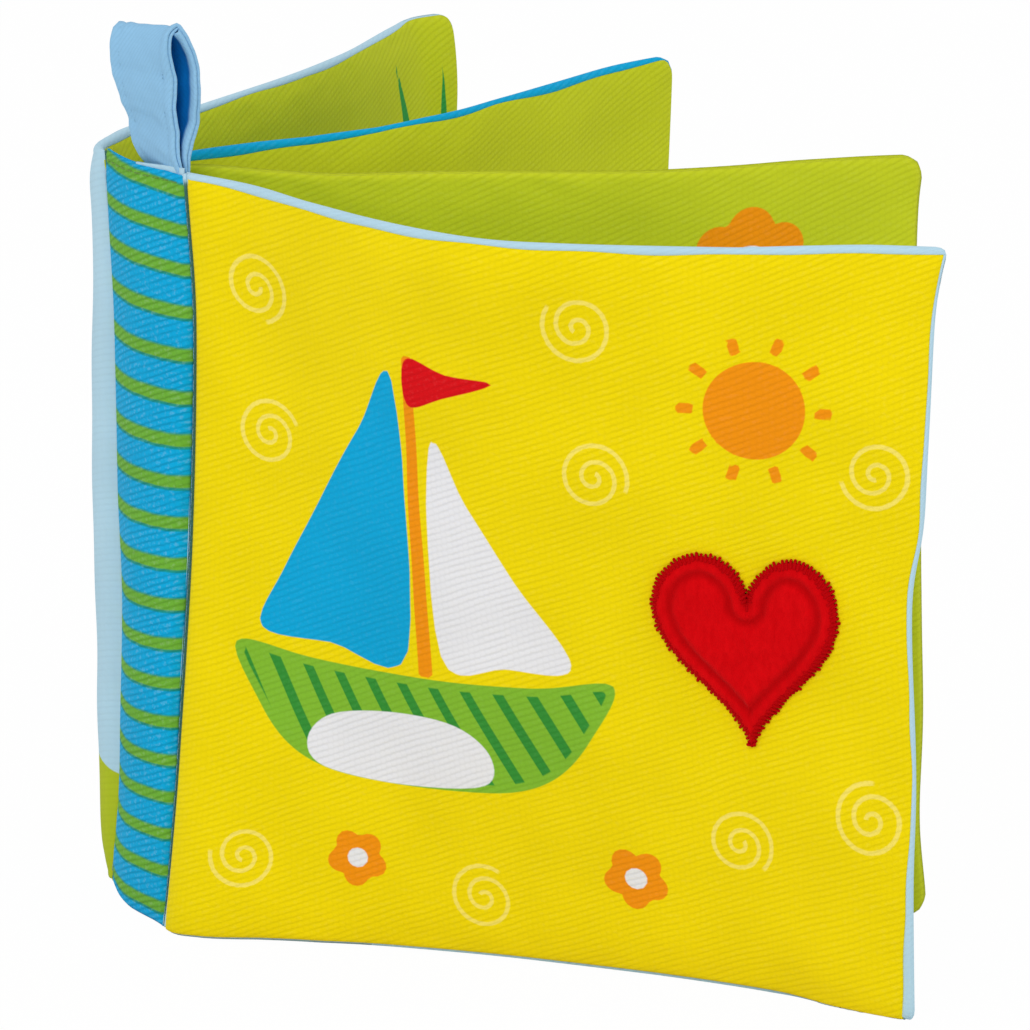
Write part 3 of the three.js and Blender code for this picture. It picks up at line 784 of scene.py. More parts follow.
# A closed shape whose outline runs smoothly through its points
def roundedShape(points, cuts=6):
    closed = [points[-1], *points, *points[:2]]
    return polygonDistance(lineThrough(closed, (len(closed) - 1) * cuts + 1)[cuts:-cuts - 1])


def together(*measures):
    return lambda x, y: np.minimum.reduce([measure(x, y) for measure in measures])


# The same kind of shape from several rows of measures
def each(shape, *rows):
    return together(*[shape(*row) for row in rows])


def disc(cx, cy, radius):
    return lambda x, y: np.hypot(x - cx, y - cy) - radius


def flower(cx, cy, radius, petals, turn=0.0):
    def measure(x, y):
        angle = np.arctan2(y - cy, x - cx) + turn
        return np.hypot(x - cx, y - cy) - radius * (0.72 + 0.28 * np.abs(np.cos(petals * angle / 2)))
    return measure


# A blade of grass, from its foot to its tip
def blade(x0, y0, x1, y1, width):
    def measure(x, y):
        share = np.clip((y - y0) / (y1 - y0), 0, 1)
        away = np.abs(x - mixed(x0, x1, share ** 1.8)) - width / 2 * (1 - share ** 1.5)
        return np.maximum(away, np.maximum(y - y1, y0 - y))
    return measure


print("materials ready")

# What a piece is made of, the part it stands for and the body it rides on

def finishPiece(piece, material, slotName, node=None, body=None):
    piece.data.materials.append(material)
    if node:
        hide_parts(node)
    if body:
        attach(piece, body)
    return piece


# Where each leaf's fold starts and ends, and the degrees it leans to the side the leaf bulges to
folds = {
    "front_cover": (1.2, 14.8, 0.0),
    "page_1": (0.6, 9.0, 0.0),
    "page_2": (0.6, 9.0, 0.0),
    "back_cover": (3.6, 14.5, 35.0),
}


def fold(piece, leafName):
    leaf = leaves[leafName]
    first, last, lean = folds[leafName]
    turn, (x, y) = math.radians(leaf["angle"] + lean), leaf["hinge"]
    start, end = [((x + way * math.cos(turn)) * mm, (y + way * math.sin(turn)) * mm, 0.0)
                  for way in (first, last)]
    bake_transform(piece)
    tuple(start)
    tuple(end)


def finishCloth(piece, leafName, node, slotName, material):
    finishPiece(piece, material, slotName, node)
    if leafName == "spine":
        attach(piece, "spine")
    else:
        fold(piece, leafName)
    return piece


hemsOf = {
    "front_cover": {"bottom": 0.1, "top": (1.2, 1.7, 1.6, 1.25, 1.3, 1.5, 1.3),
                    "fore": (2.1, 1.2, 0.8, 0.6, 0.6, 0.6, 0.6, 0.5)},
    "page_1": {"bottom": 0.1, "top": (0.1, 0.1), "fore": (0.1, 0.1)},
    "page_2": {"bottom": 0.1, "top": (2.0, 1.75, 1.3, 1.0, 1.0, 1.4, 1.2, 0.1), "fore": (0.1, 0.1)},
    "back_cover": {"bottom": 0.1, "top": (1.7, 1.5, 1.1, 1.2, 1.35, 0.8, 0.1), "fore": (0.1, 0.1)},
    "spine": {"bottom": 0.1, "top": (0.1, 0.1), "fore": (0, 0)},
}
# The spine's front lining stands a little above its cloth, most at the seam
liningHems = {"bottom": 0.1, "top": (-1.45,) + (-0.3,) * 10, "fore": (0, 0)}

# Front cover: yellow cloth printed with a toy boat, a sun, flowers and pale swirls

coverPrint = {
    # Place and turn of each swirl, and how wide and high it is drawn
    "swirls": [(17, 131, 0.3, 1.14, 0.9), (20, 103, 2.0, 1.08, 0.88), (92, 134, 4.1, 0.86, 0.95),
               (94, 104, 1.2, 0.86, 0.94), (147, 108, 5.0, 0.9, 0.92), (148, 40, 3.1, 0.96, 1.0),
               (120, 31, 0.8, 0.9, 0.92), (66, 13, 2.6, 0.9, 0.94), (17, 18, 4.6, 0.84, 0.9)],
    "swirlTurns": 2.25,
    "swirlRadii": (1.1, 7.3),
    "swirlStroke": 0.46,
    "swirlBlur": 0.17,
    "swirlPitch": 2.9,  # between one turn of a swirl's line and the next
    "hull": [(13, 61), (19, 49), (26, 41), (35, 37), (48, 35.6), (62, 35.6), (75, 37), (84, 41.5), (91, 50),
             (96, 61.5), (80, 59.6), (55, 58.6), (30, 59.4)],
    "panel": [(33, 37.6), (29.5, 43), (35, 48.5), (49, 50.6), (63, 49.5), (70, 44), (68, 37.4), (50, 35.6)],
    "bigSail": [(53.5, 64), (53.5, 119), (44, 108), (34, 93), (24, 77), (18.5, 64.5), (35, 63.2)],
    "smallSail": [(61, 64), (61.5, 107), (69, 96), (78, 81), (88, 64.5), (75, 63)],
    "mast": [(55.6, 59), (58.8, 59), (58.4, 124.5), (56.2, 124.5)],
    "pennant": [(57, 124), (57, 114.5), (65, 117), (76, 121.5), (66, 122)],
    "sun": (124, 119, 9.5),
    "flowers": [(40, 19, 6.2), (98, 21, 6.8)],
    "stripeSlope": 0.55,
    "stripePitch": 7.2,
    "stripeWidth": 0.33,
}
swirlValues = ("Across", "Up", "Turn", "Wide", "High")


def swirlGroup():
    group, entry, result = nodeGroup("swirl", ["Flat", *swirlValues], ["Share"])
    op = partial(mathNode, group)
    x, y, _ = addNode(group, "SeparateXYZ", {0: entry["Flat"]}).outputs
    rough = noiseNode(group, entry["Flat"], 1.1, 2.0)
    dx, dy = [op("DIVIDE", op("SUBTRACT", place, entry[key]), entry[size])
              for place, key, size in ((x, "Across", "Wide"), (y, "Up", "High"))]
    radius = op("SQRT", op("MULTIPLY_ADD", dx, dx, op("MULTIPLY", dy, dy)))
    turn = op("SUBTRACT", entry["Turn"], op("ARCTAN2", dy, dx))
    turn = op("FRACT", op("MULTIPLY", turn, 1 / (2 * math.pi)))
    # Which turn of the line is nearest, and how far off it the point lies
    whole = op("SUBTRACT", op("MULTIPLY_ADD", radius, 1 / coverPrint["swirlPitch"], -0.31), turn)
    along = op("ADD", op("MAXIMUM", op("ROUND", whole), 0.0), turn)
    turns, stroke, blur = (coverPrint["swirl" + key] for key in ("Turns", "Stroke", "Blur"))
    line = rangeNode(group, along, 0.0, turns, *coverPrint["swirlRadii"])
    away = op("ABSOLUTE", op("SUBTRACT", radius, line))
    away = op("MULTIPLY_ADD", op("SUBTRACT", rough, 0.5), 0.4, away)
    share = op("MULTIPLY", rangeNode(group, away, stroke + blur, stroke - blur),
               rangeNode(group, along, turns + 0.01, turns - 0.01))
    feed(group, result["Share"], op("MULTIPLY", share, rangeNode(group, rough, 0.25, 0.4, 0.75, 1.0)))
    return group


swirl = swirlGroup()


def stripes(tree, flat):
    x, y, _ = addNode(tree, "SeparateXYZ", {0: flat}).outputs
    along = mathNode(tree, "MULTIPLY_ADD", y, coverPrint["stripeSlope"], x)
    share = mathNode(tree, "FRACT", mathNode(tree, "MULTIPLY", along, 1 / coverPrint["stripePitch"]))
    away = mathNode(tree, "ABSOLUTE", mathNode(tree, "SUBTRACT", share, 0.5))
    half = coverPrint["stripeWidth"] / 2
    return rangeNode(tree, away, half + 0.02, half - 0.02)


def coverDye(tree, flat):
    colour = linear("yellow")
    for place in coverPrint["swirls"]:
        inputs = {"Flat": flat, **dict(zip(swirlValues, place))}
        node = addNode(tree, "Group", inputs, node_tree=swirl)
        colour = mixColour(tree, node.outputs["Share"], colour, linear("swirl"))
    inner = rangeNode(tree, attributeNode(tree, "greenPrint"), -1.5, -1.9)
    striped = mathNode(tree, "MULTIPLY", stripes(tree, flat), inner)
    green = mixColour(tree, striped, linear((128, 182, 48)), linear((52, 140, 52)))
    for layer, dye in (("orange", "orange"), ("blue", "blue"), ("white", "white"), ("green", green),
                       ("panel", "white"), ("red", "red")):
        colour = printed(tree, colour, layer + "Print", dye)
    return colour


def sunDistance(x, y):
    cx, cy, radius = coverPrint["sun"]
    away, angle = np.hypot(x - cx, y - cy), np.arctan2(y - cy, x - cx)
    ray = np.maximum(np.abs(away - radius * 1.36) - radius * 0.17,
                     away * np.abs(np.sin(np.arcsin(np.sin(5 * angle)) / 5)) - 1.0)
    return np.minimum(away - radius, ray)


coverMasks = {
    "orangePrint": together(polygonDistance(coverPrint["mast"]), sunDistance,
                            each(flower, *[(x, y, r, 5, 0.4) for x, y, r in coverPrint["flowers"]])),
    "bluePrint": roundedShape(coverPrint["bigSail"]),
    "whitePrint": together(roundedShape(coverPrint["smallSail"]),
                           each(disc, *[(x, y, r * 0.34) for x, y, r in coverPrint["flowers"]])),
    "greenPrint": roundedShape(coverPrint["hull"]),
    "panelPrint": roundedShape(coverPrint["panel"]),
    "redPrint": roundedShape(coverPrint["pennant"], 4),
}
paleWeave = {"groove": 0.035, "bump": 0.1, "fleck": 0.0}
yellowCloth = clothMaterial("yellowPrintedTwill", coverDye)
paleCloth = clothMaterial("paleBlueTwill", "paleBlue", paleWeave)
limeCloth = clothMaterial("limeTwill", "lime")

coverCloth = finishCloth(tuckedCloth("front_cover", "front_cover_outer", hemsOf["front_cover"], coverMasks),
                         "front_cover", "front_cover_cloth", "yellow_cloth", yellowCloth)
finishCloth(rolledCloth("front_cover", "front_cover_backing", hemsOf["front_cover"]),
            "front_cover", "front_cover_lining", "pale_blue_cloth", paleCloth)
print("front cover made")

# Page 1 has an orange tulip in front. Its back, and both sides of page 2, are guessed
pagePrint = {
    # Discs that make a tulip, and its pale middle: place and radius
    "tulip": [(107.5, 134.5, 4.4), (114, 137.5, 4.8), (120.5, 134.5, 4.4), (114, 128, 10.2)],
    "tulipInside": [(114, 129.5, 5.2), (114, 124, 6.0)],
    "stem": (112, 60, 114, 119, 2.4),
    "blades": [(20, 0, 26, 34, 2.2), (34, 0, 30, 22, 1.8), (128, 0, 134, 30, 2.2), (140, 0, 137, 20, 1.8)],
}


def leafyDye(ground, hill=None):
    def dye(tree, flat):
        colour = printed(tree, linear(ground), "hillPrint", hill) if hill else linear(ground)
        for layer, ink in (("blade", "darkGreen"), ("petal", "orange"), ("heart", "white")):
            colour = printed(tree, colour, layer + "Print", ink)
        return colour
    return dye


limePage = clothMaterial("limePrintedTwill", leafyDye("lime"))
bluePage = clothMaterial("blueTwill", leafyDye("blue"), {"fleck": 0.02})
tulipMasks = {
    "petalPrint": each(disc, *pagePrint["tulip"]),
    "heartPrint": each(disc, *pagePrint["tulipInside"]),
    "bladePrint": each(blade, *pagePrint["blades"], pagePrint["stem"]),
}
meadowMasks = {
    "petalPrint": each(flower, (48, 96, 9, 5), (98, 52, 11, 6, 0.5)),
    "heartPrint": each(disc, (48, 96, 3), (98, 52, 3.6)),
    "bladePrint": each(blade, *pagePrint["blades"]),
}
blueMasks = {
    "petalPrint": disc(112, 112, 13),
    "heartPrint": each(flower, (40, 104, 13, 6), (56, 98, 10, 5), (96, 60, 12, 6)),
    "bladePrint": meadowMasks["bladePrint"],
}
for name, frontMasks, backMasks, backSlot, backMaterial in (
        ("page_1", tulipMasks, meadowMasks, "lime_cloth", limePage),
        ("page_2", meadowMasks, blueMasks, "blue_cloth", bluePage)):
    finishCloth(tuckedCloth(name, name + "_front", hemsOf[name], frontMasks),
                name, name + "_front_cloth", "lime_cloth", limePage)
    finishCloth(rolledCloth(name, name + "_back", hemsOf[name], backMasks),
                name, name + "_back_cloth", backSlot, backMaterial)
print("pages made")

# Back cover: pale blue sky above a lime hill, lime inside
backPrint = {
    "hill": [(-5, -5), (-5, 19.5), (0, 22), (6, 25), (22, 30), (48, 37), (80, 49), (112, 55), (140, 50),
             (165, 43), (165, -5)],
    "clouds": [(40, 112, 11), (52, 116, 13), (65, 111, 10), (112, 92, 9), (122, 95, 11), (133, 91, 8)],
    "flowers": [(44, 22, 6.5, 5), (98, 30, 7.5, 5, 0.3)],
    "flowerMiddles": [(44, 22, 2), (98, 30, 2.4)],
    "blades": [(20, 0, 24, 22, 2.4), (66, 4, 70, 34, 2.4), (76, 2, 74, 24, 2), (126, 4, 130, 40, 2.6)],
    "innerBlades": [(139, 100, 130, 146, 6.0), (151, 98, 151.5, 141, 5.0), (96, 100, 92, 126, 2.4),
                    (128, 98, 124, 124, 3.0), (30, 0, 35, 30, 2.4), (42, 0, 39, 22, 2.0)],
}
skyMasks = {
    "hillPrint": roundedShape(backPrint["hill"]),
    "heartPrint": each(disc, *backPrint["clouds"], *backPrint["flowerMiddles"]),
    "petalPrint": each(flower, *backPrint["flowers"]),
    "bladePrint": each(blade, *backPrint["blades"]),
}
liningMasks = {
    "heartPrint": disc(60, 60, 3),
    "petalPrint": flower(60, 60, 10, 5),
    "bladePrint": each(blade, *backPrint["innerBlades"]),
}
backCloth = clothMaterial("skyAndHillTwill", leafyDye("paleBlue", "hillLime"), paleWeave)
finishCloth(tuckedCloth("back_cover", "back_cover_inner", hemsOf["back_cover"], liningMasks),
            "back_cover", "back_cover_lining", "lime_cloth", limePage)
finishCloth(rolledCloth("back_cover", "back_cover_outer", hemsOf["back_cover"], skyMasks),
            "back_cover", "back_cover_cloth", "pale_blue_cloth", backCloth)
print("back cover made")

# Spine: blue cloth with green bands, rolled over its top and bottom, and a lining in two halves
spinePrint = {
    # Height and number of some bands at the front seam, and how far they tilt across the spine, by height
    "bands": [(-4.2, -1), (3.8, 0), (33.6, 4), (65.0, 8), (97.7, 12), (131.3, 16), (146.9, 18),
              (154.7, 19)],
    "tilt": [(0, 0.015), (40, 0.056), (60, 0.07), (80, 0.055), (112, 0.0), (137, -0.056), (150, -0.07)],
    "half": 0.17,
    "edge": 0.035,
}


def bandNumber(x, y):
    heights, numbers = zip(*spinePrint["bands"])
    return np.interp(y + x * np.interp(y, *zip(*spinePrint["tilt"])), heights, numbers)


def spineDye(tree, flat):
    op, half, edge = partial(mathNode, tree), spinePrint["half"], spinePrint["edge"]
    wobble = op("MULTIPLY_ADD", noiseNode(tree, flat, 0.3, 2.0), 0.04, 0.48)
    share = op("FRACT", op("ADD", attributeNode(tree, "band"), wobble))
    away = op("ABSOLUTE", op("SUBTRACT", share, 0.5))
    band = rangeNode(tree, away, half + 0.02, half - 0.02)
    colour = mixColour(tree, band, linear("blue"), linear("stripeGreen"))
    line = rangeNode(tree, op("ABSOLUTE", op("SUBTRACT", away, half)), edge * 1.6, edge * 0.4)
    line = op("MULTIPLY", line, rangeNode(tree, share, 0.55, 0.45, 0.5, 0.9))
    return mixColour(tree, line, colour, linear("bandEdge"))


stripedCloth = clothMaterial("stripedTwill", spineDye, {"fleck": 0.07, "groove": 0.2})
finishCloth(rolledCloth("spine", "spine_outer", hemsOf["spine"], {"band": bandNumber}),
            "spine", "spine_cloth", "striped_cloth", stripedCloth)
half = book["spineSpan"] / 2
liningEnds = clothCut["hingeRows"], clothCut["liningRows"]
liningSpots = hingeStart + stations(half - hingeStart - 0.1, *liningEnds, step)
for side, hems, xs, slotName, material in (
        ("front", liningHems, liningSpots, "pale_blue_cloth", paleCloth),
        ("back", hemsOf["spine"], (book["spineSpan"] - liningSpots)[::-1], "lime_cloth", limeCloth)):
    node = "spine_lining_" + side
    lining = tuckedCloth("spine", node + "_cloth", hems, xs=xs)
    finishPiece(lining, material, slotName, node, "spine")
print("spine made")

# Filling
wadding = noisyMaterial("wadding", [(225, 224, 218), (246, 245, 240)], (900.0, 6.0, 0.7), 0.0006, 0.95)
film = noisyMaterial("crinkleFilm", [(205, 210, 214), (232, 236, 240)], (260.0, 4.0, 0.6), 0.0004, 0.25)
for name in leaves:
    finishPiece(makeWadding(name), wadding, "wadding", name + "_wadding", name)
    if name != "spine":
        finishPiece(makeFilm(name), film, "crinkle_film", name + "_crinkle_film", name)
print("filling made")

# Thread: one stitch is modelled and copied along every seam

def makeStitch():
    selectOnly()
    bpy.ops.mesh.primitive_cylinder_add(vertices=7, radius=0.5, depth=1.0, end_fill_type="NGON",
                                        rotation=(0, math.pi / 2, 0))
    stitch = bpy.context.object
    bpy.ops.object.transform_apply(location=True, rotation=True, scale=True)
    bpy.ops.object.mode_set(mode="EDIT")
    bpy.ops.mesh.select_all(action="SELECT")
    bpy.ops.mesh.bevel(offset=0.2, segments=2)
    bpy.ops.object.mode_set(mode="OBJECT")
    points = np.array([v.co for v in stitch.data.vertices])
    faces = [list(p.vertices) for p in stitch.data.polygons]
    bpy.data.objects.remove(stitch)
    return points, faces


stitchPoints, stitchFaces = makeStitch()


# A stitch for each pair of ends, sunk a little at both ends towards the cloth
def sewStitches(pieceName, starts, ends, outward, thickness, sink):
    x, y, z = stitchPoints.T
    points, faces = [], []
    for i, (a, b, up) in enumerate(zip(starts, ends, np.broadcast_to(outward, np.shape(starts)))):
        length, way = np.linalg.norm(b - a), unit(b - a)
        up = unit(up - way * (up @ way))
        points.append((a + b) / 2 + np.outer(x * length, way) + np.outer(y * thickness, np.cross(up, way))
                      + np.outer(z * thickness - sink * (2 * x) ** 2, up))
        faces += [[k + i * len(x) for k in f] for f in stitchFaces]
    return buildMesh(pieceName, np.concatenate(points), faces)


# Seams between the covers and the spine: a welt of folded cloth and a row of stitches

seamCut = {
    "weltRadius": 0.44,
    "sides": 12,
    "foot": 0.5,
    "stitchesFrom": 2.0,
    "stitchesTo": 147.5,
    "stitchLength": 2.3,
    "gap": 0.9,
    "thread": 0.28,
    "lift": 0.12,
}


# The welt's dark teal is partly the cloth's colour and partly painted shade in the seam
def weltDyeAndShade(tree, flat):
    return mixColour(tree, attributeNode(tree, "hem"), linear((62, 106, 98)), linear("paleBlue"))


weltMaterial = clothMaterial("seamWelt", weltDyeAndShade)
seamThread = threadMaterial("seamThread", (104, 150, 168))


def makeSeam(name, y, top, outward):
    radius, sides, length = seamCut["weltRadius"], seamCut["sides"], seamCut["stitchLength"]

    def seamPoint(z):
        return np.stack([strayed(name, z), np.full(len(z), y), z], -1)

    heights = np.linspace(seamCut["foot"], top, 151)
    turns = np.linspace(0, 2 * np.pi, sides, endpoint=False)
    ring = np.stack([np.cos(turns), np.sin(turns), 0 * turns], -1) * radius
    points = (seamPoint(heights)[:, None] + ring).reshape(-1, 3)
    ends = np.arange(len(points)).reshape(-1, sides)[[0, -1]].tolist()
    faces = gridFaces(len(heights), sides, ring=True) + [ends[0][::-1], ends[1]]
    flat = np.stack([np.tile(turns * radius, len(heights)), points[:, 2]], -1)
    hem = smooth(points[:, 2], 148.3, 149.3) * (name == "front")
    welt = buildMesh(name + "_seam_welt", points, faces, flat, {"hem": hem})
    finishPiece(welt, weltMaterial, "seam_thread", name + "_hinge_seam", "spine")
    out = unit(np.array([*outward, 0.0]))
    lift = out * (radius + seamCut["lift"])
    pitch = length + seamCut["gap"]
    low = np.arange(seamCut["stitchesFrom"], seamCut["stitchesTo"] - pitch, pitch)
    stitches = sewStitches(name + "_seam_stitches", seamPoint(low) + lift, seamPoint(low + length) + lift,
                           out, seamCut["thread"], 0.12)
    finishPiece(stitches, seamThread, "seam_thread", body="spine")


makeSeam("front", -half, 150.5, (-0.94, -0.34))
makeSeam("back", half, 149.6, (-0.95, 0.31))

# Stitches through the top hem of the spine
hemCut = {
    "first": 2.2,
    "last": 28.0,
    "pitch": 2.7,
    "length": 2.0,
    "height": 148.4,
    "endHeight": 148.3,
    "thread": 0.28,
}
hemSpots = np.arange(hemCut["first"], hemCut["last"], hemCut["pitch"])
hemStart, hemEnd = (np.full(len(hemSpots), hemCut[key]) for key in ("height", "endHeight"))
fromHinge = np.minimum(hemSpots, book["spineSpan"] - hemSpots)
hemFace = clothFace("spine", 1, hemSpots, hemStart, 0.5, fromHinge) + 0.03
hemStitches = sewStitches("spine_hem_stitches", leafPoint("spine", hemSpots, hemStart, hemFace),
                          leafPoint("spine", hemSpots + hemCut["length"], hemEnd, hemFace),
                          (-1.0, 0.0, 0.0), hemCut["thread"], 0.1)
finishPiece(hemStitches, threadMaterial("hemThread", (116, 158, 74)), "seam_thread", body="spine")
print("seams sewn")

# The strip of cloth that binds both pages to the middle of the spine
bindingCut = {
    "section": [(-0.35, -4.5), (-0.2, -3.9), (0.1, -3.3), (0.9, -3.0), (2.2, -2.95), (3.2, -2.85),
                (3.5, -2.6), (3.2, -2.35), (2.2, -2.25), (0.9, -2.2), (0.25, -1.8), (0.1, -0.9),
                (0.05, 0.0)],
    "thickness": 0.25,
    "foot": 0.8,
    "top": 149.2,
    "rows": 75,
    "flatHeight": 148.5,
}


def makeBinding():
    lower = bindingCut["section"]
    line = np.array(lower + [(x, -y) for x, y in lower[-2::-1]])
    arc = wayAlong(line)
    heights = np.linspace(bindingCut["foot"], bindingCut["top"], bindingCut["rows"])
    z, x = np.meshgrid(heights, line[:, 0], indexing="ij")
    y, flat = (np.broadcast_to(row, z.shape) for row in (line[:, 1], arc))
    x = x + spineMiddle(z) + 0.08 * waviness(y * 3, z, 11, 91)
    points = np.stack([x, y, z], -1).reshape(-1, 3)
    piece = thicken(buildMesh("page_binding_strip", points, gridFaces(*z.shape), listed(flat, z)),
                    bindingCut["thickness"])
    finishPiece(piece, limeCloth, "lime_cloth", "page_binding", "spine")


makeBinding()
print("binding made")

# Plush heart on the front cover: a soft pad of pile cloth and the satin stitches round it

plush = {
    "width": 37.0,
    "height": 38.0,
    "place": (0.79 * book["coverLength"], 0.47 * leafHeight),
    "dome": 2.2,
    "edge": 0.8,
    "domeRun": 1.4,  # how fast the pad rises from its edge
    "grooveAt": 3.4,
    "grooveDepth": 0.8,
    "grooveWidth": 0.9,
    "lumps": 0.2,
    "tufts": (0.06, 0.05),
    "points": 216,
    "rings": 44,
    "stitchPitch": 0.86,
    "stitchInside": 0.9,
    "stitchOutside": 0.6,
    "thread": 0.68,
    "cosines": (13 / 16, -5 / 16, -2 / 16, -1 / 16),
    "areaShare": 0.62,  # of the rectangle round it
}


# Points in even steps along the heart's outline, and the outline's length
def heartOutline(count):
    turns = np.linspace(0, 2 * np.pi, 2000)
    high = sum(share * np.cos((k + 1) * turns) for k, share in enumerate(plush["cosines"]))
    line = np.stack([(along - (along.min() + along.max()) / 2) / np.ptp(along) * plush[size]
                     for along, size in ((np.sin(turns) ** 3, "width"), (high, "height"))], -1)
    steps = wayAlong(line)
    return columnsAt(np.linspace(0, steps[-1], count, endpoint=False), steps, line), steps[-1]


def onCover(spots, raised):
    x, y = (spots + plush["place"]).T
    widths = hemWidths(hemsOf["front_cover"], x, y, leaves["front_cover"]["seed"])
    return leafPoint("front_cover", x, y, frontFace("front_cover", x, y, widths) - raised)


outline, outlineLength = heartOutline(plush["points"])
heartEdge = polygonDistance(outline)


def plushRise(spots):
    x, y = spots.T
    inside = np.maximum(-heartEdge(x, y), 0)
    dome = plush["edge"] + (plush["dome"] - plush["edge"]) * (1 - np.exp(-inside / plush["domeRun"]))
    groove = plush["grooveDepth"] * np.exp(-((inside - plush["grooveAt"]) / plush["grooveWidth"]) ** 2)
    lumps = plush["lumps"] * waviness(x, y, 9, 301) * smooth(inside, 2.5, 6)
    coarse, fine = plush["tufts"]
    tufts = (coarse * waviness(x, y, 1.9, 302) + fine * waviness(x, y * 0.5, 1.0, 303)) * smooth(inside, 0, 1)
    return dome - groove + lumps + tufts


def makePlush():
    count, rings = plush["points"], plush["rings"]
    shares = np.sin(np.linspace(0, np.pi / 2, rings + 1))[1:]
    spots = np.concatenate([[[0.0, 0.0]], (outline * shares[:, None, None]).reshape(-1, 2)])
    points = np.concatenate([onCover(spots, plushRise(spots)), onCover(spots, 0.08)])
    total = len(spots)
    faces = gridFaces(rings, count, False, 1, True) + gridFaces(rings, count, True, total + 1, True)
    last = total - count
    for i, j in enumerate(np.roll(range(count), -1)):
        faces += [[0, 1 + j, 1 + i], [total, total + 1 + i, total + 1 + j],
                  [last + i, last + j, total + last + j, total + last + i]]
    inside = np.maximum(-heartEdge(*spots.T), 0)
    # Painted shade: a share that darkens the pad in its groove and along its rim
    grooveAndRimShade = np.exp(-((inside - plush["grooveAt"]) / 0.8) ** 2) + 0.9 * np.exp(-(inside / 1.1) ** 2)
    piece = buildMesh("plush_heart_pad", points, faces, np.concatenate([spots, spots]) + plush["place"],
                      {"grooveAndRimShade": np.tile(grooveAndRimShade, 2)})
    pointOutwards(piece)
    return piece


def plushDyeAndShade(tree):
    place = objectPlace(tree)
    tufts = noiseNode(tree, scaledVector(tree, place, (1.0, 1.0, 0.4)), 800.0, 4.0, 0.7)
    soft = rangeNode(tree, noiseNode(tree, place, 160.0, 2.0), 0.3, 0.75, 0.0, 0.3)
    # The pad's colour is darkened in its groove and along its rim: painted shade
    grooveAndRimShade = mathNode(tree, "MULTIPLY", attributeNode(tree, "grooveAndRimShade"), 0.65)
    colour = linear((203, 2, 9))
    for share, shade in ((rangeNode(tree, tufts, 0.3, 0.7), (218, 6, 14)), (soft, (192, 2, 8)),
                         (grooveAndRimShade, (168, 2, 6))):
        colour = mixColour(tree, share, colour, linear(shade))
    return colour, tufts, 0.5, 0.0003


redPlush = makeMaterial("redPlush", plushDyeAndShade, {
    "Roughness": 0.95, "Specular IOR Level": 0.05, "Sheen Weight": 0.1, "Sheen Roughness": 0.4,
    "Sheen Tint": (1.0, 0.35, 0.35, 1.0)})
heartPad = finishPiece(makePlush(), redPlush, "red_plush", "plush_heart", "front_cover")


def makeEdging():
    count = int(outlineLength / plush["stitchPitch"])
    spots, _ = heartOutline(count)
    x, y = (np.roll(spots, -1, axis=0) - np.roll(spots, 1, axis=0)).T
    away = unit(np.stack([y, -x], -1))
    away = away * np.sign((away * spots).sum())
    along = np.stack([-away[:, 1], away[:, 0]], -1) * plush["stitchPitch"] * 0.25
    draw = np.random.default_rng(5)
    inner = spots - away * (plush["stitchInside"] + draw.uniform(-0.25, 0.3, (count, 1))) - along
    outer = spots + away * (plush["stitchOutside"] + draw.uniform(-0.3, 0.3, (count, 1))) + along
    lift = plushRise(inner) + 0.12
    starts = onCover(inner, lift)
    outward = onCover(inner, lift + 1) - starts
    return sewStitches("plush_heart_stitching", starts, onCover(outer, 0.12), outward, plush["thread"], 0.06)


redThread = threadMaterial("redThread", (184, 3, 11), 0.9, 0.03)
finishPiece(makeEdging(), redThread, "red_thread", "plush_heart_edging", "front_cover")
print("plush heart sewn on")

# Hang loop: a doubled tape folded in two, twisted a little as it stands. Its near and far
# edges pass through these points, up one ply, over the fold and down the other

loop = {
    "near": [(3.7, -13.7, 149.0), (2.9, -13.3, 154.5), (2.3, -12.9, 160.0), (2.3, -12.4, 166.0),
             (2.4, -12.0, 171.5), (2.9, -11.7, 176.3), (4.3, -11.5, 178.5), (6.1, -11.7, 175.9),
             (7.4, -12.0, 171.4), (7.8, -12.5, 165.4), (7.0, -12.8, 160.6), (6.0, -13.1, 157.2),
             (5.4, -13.3, 153.6), (4.8, -13.7, 149.0)],
    "far": [(3.0, 1.0, 149.0), (0.9, 2.5, 154.0), (0.1, 2.6, 159.0), (-1.5, 2.8, 162.8), (-3.1, 2.9, 167.2),
            (-3.2, 3.0, 170.9), (-2.2, 3.2, 176.0), (-0.9, 3.4, 174.2), (-0.2, 3.4, 170.8),
            (0.3, 3.3, 166.4), (1.3, 3.2, 161.4), (2.2, 3.0, 157.6), (2.9, 2.4, 153.4), (3.9, 1.2, 149.0)],
    "width": 16.0,
    "half": 0.74,
    "footHalf": 0.5,
    "lip": 0.48,
    "stitchFrom": 2.2,
    "stitchPitch": 2.1,
    "steps": 120,
}
nearEdge, farEdge = (lineThrough(loop[key], loop["steps"]) for key in ("near", "far"))
tapeAt = wayAlong((nearEdge + farEdge) / 2)


# The point of the tape at a way along it, across it from its middle and out of it
def loopPoint(at, across, out):
    share = (across / loop["width"] + 0.5)[..., None]

    def middle(way):
        return mixed(*(columnsAt(way, tapeAt, edge) for edge in (nearEdge, farEdge)), share)

    step = 0.4
    along = middle(np.minimum(at + step, tapeAt[-1])) - middle(np.maximum(at - step, 0))
    way = unit(np.cross(along, columnsAt(at, tapeAt, farEdge - nearEdge)))
    free = np.clip(np.minimum(at, tapeAt[-1] - at) / 6, 0, 1)
    thin = mixed(loop["footHalf"], 1.0, smooth(free, 0, 1))
    loose = 0.26 + 0.3 * smooth(-across, 2, 8)
    ripple = loose * waviness(across * 0.8, at, 8, 515) + 0.11 * waviness(across, at, 3.6, 516)
    return middle(at) + way * (out * thin + ripple * free)[..., None]


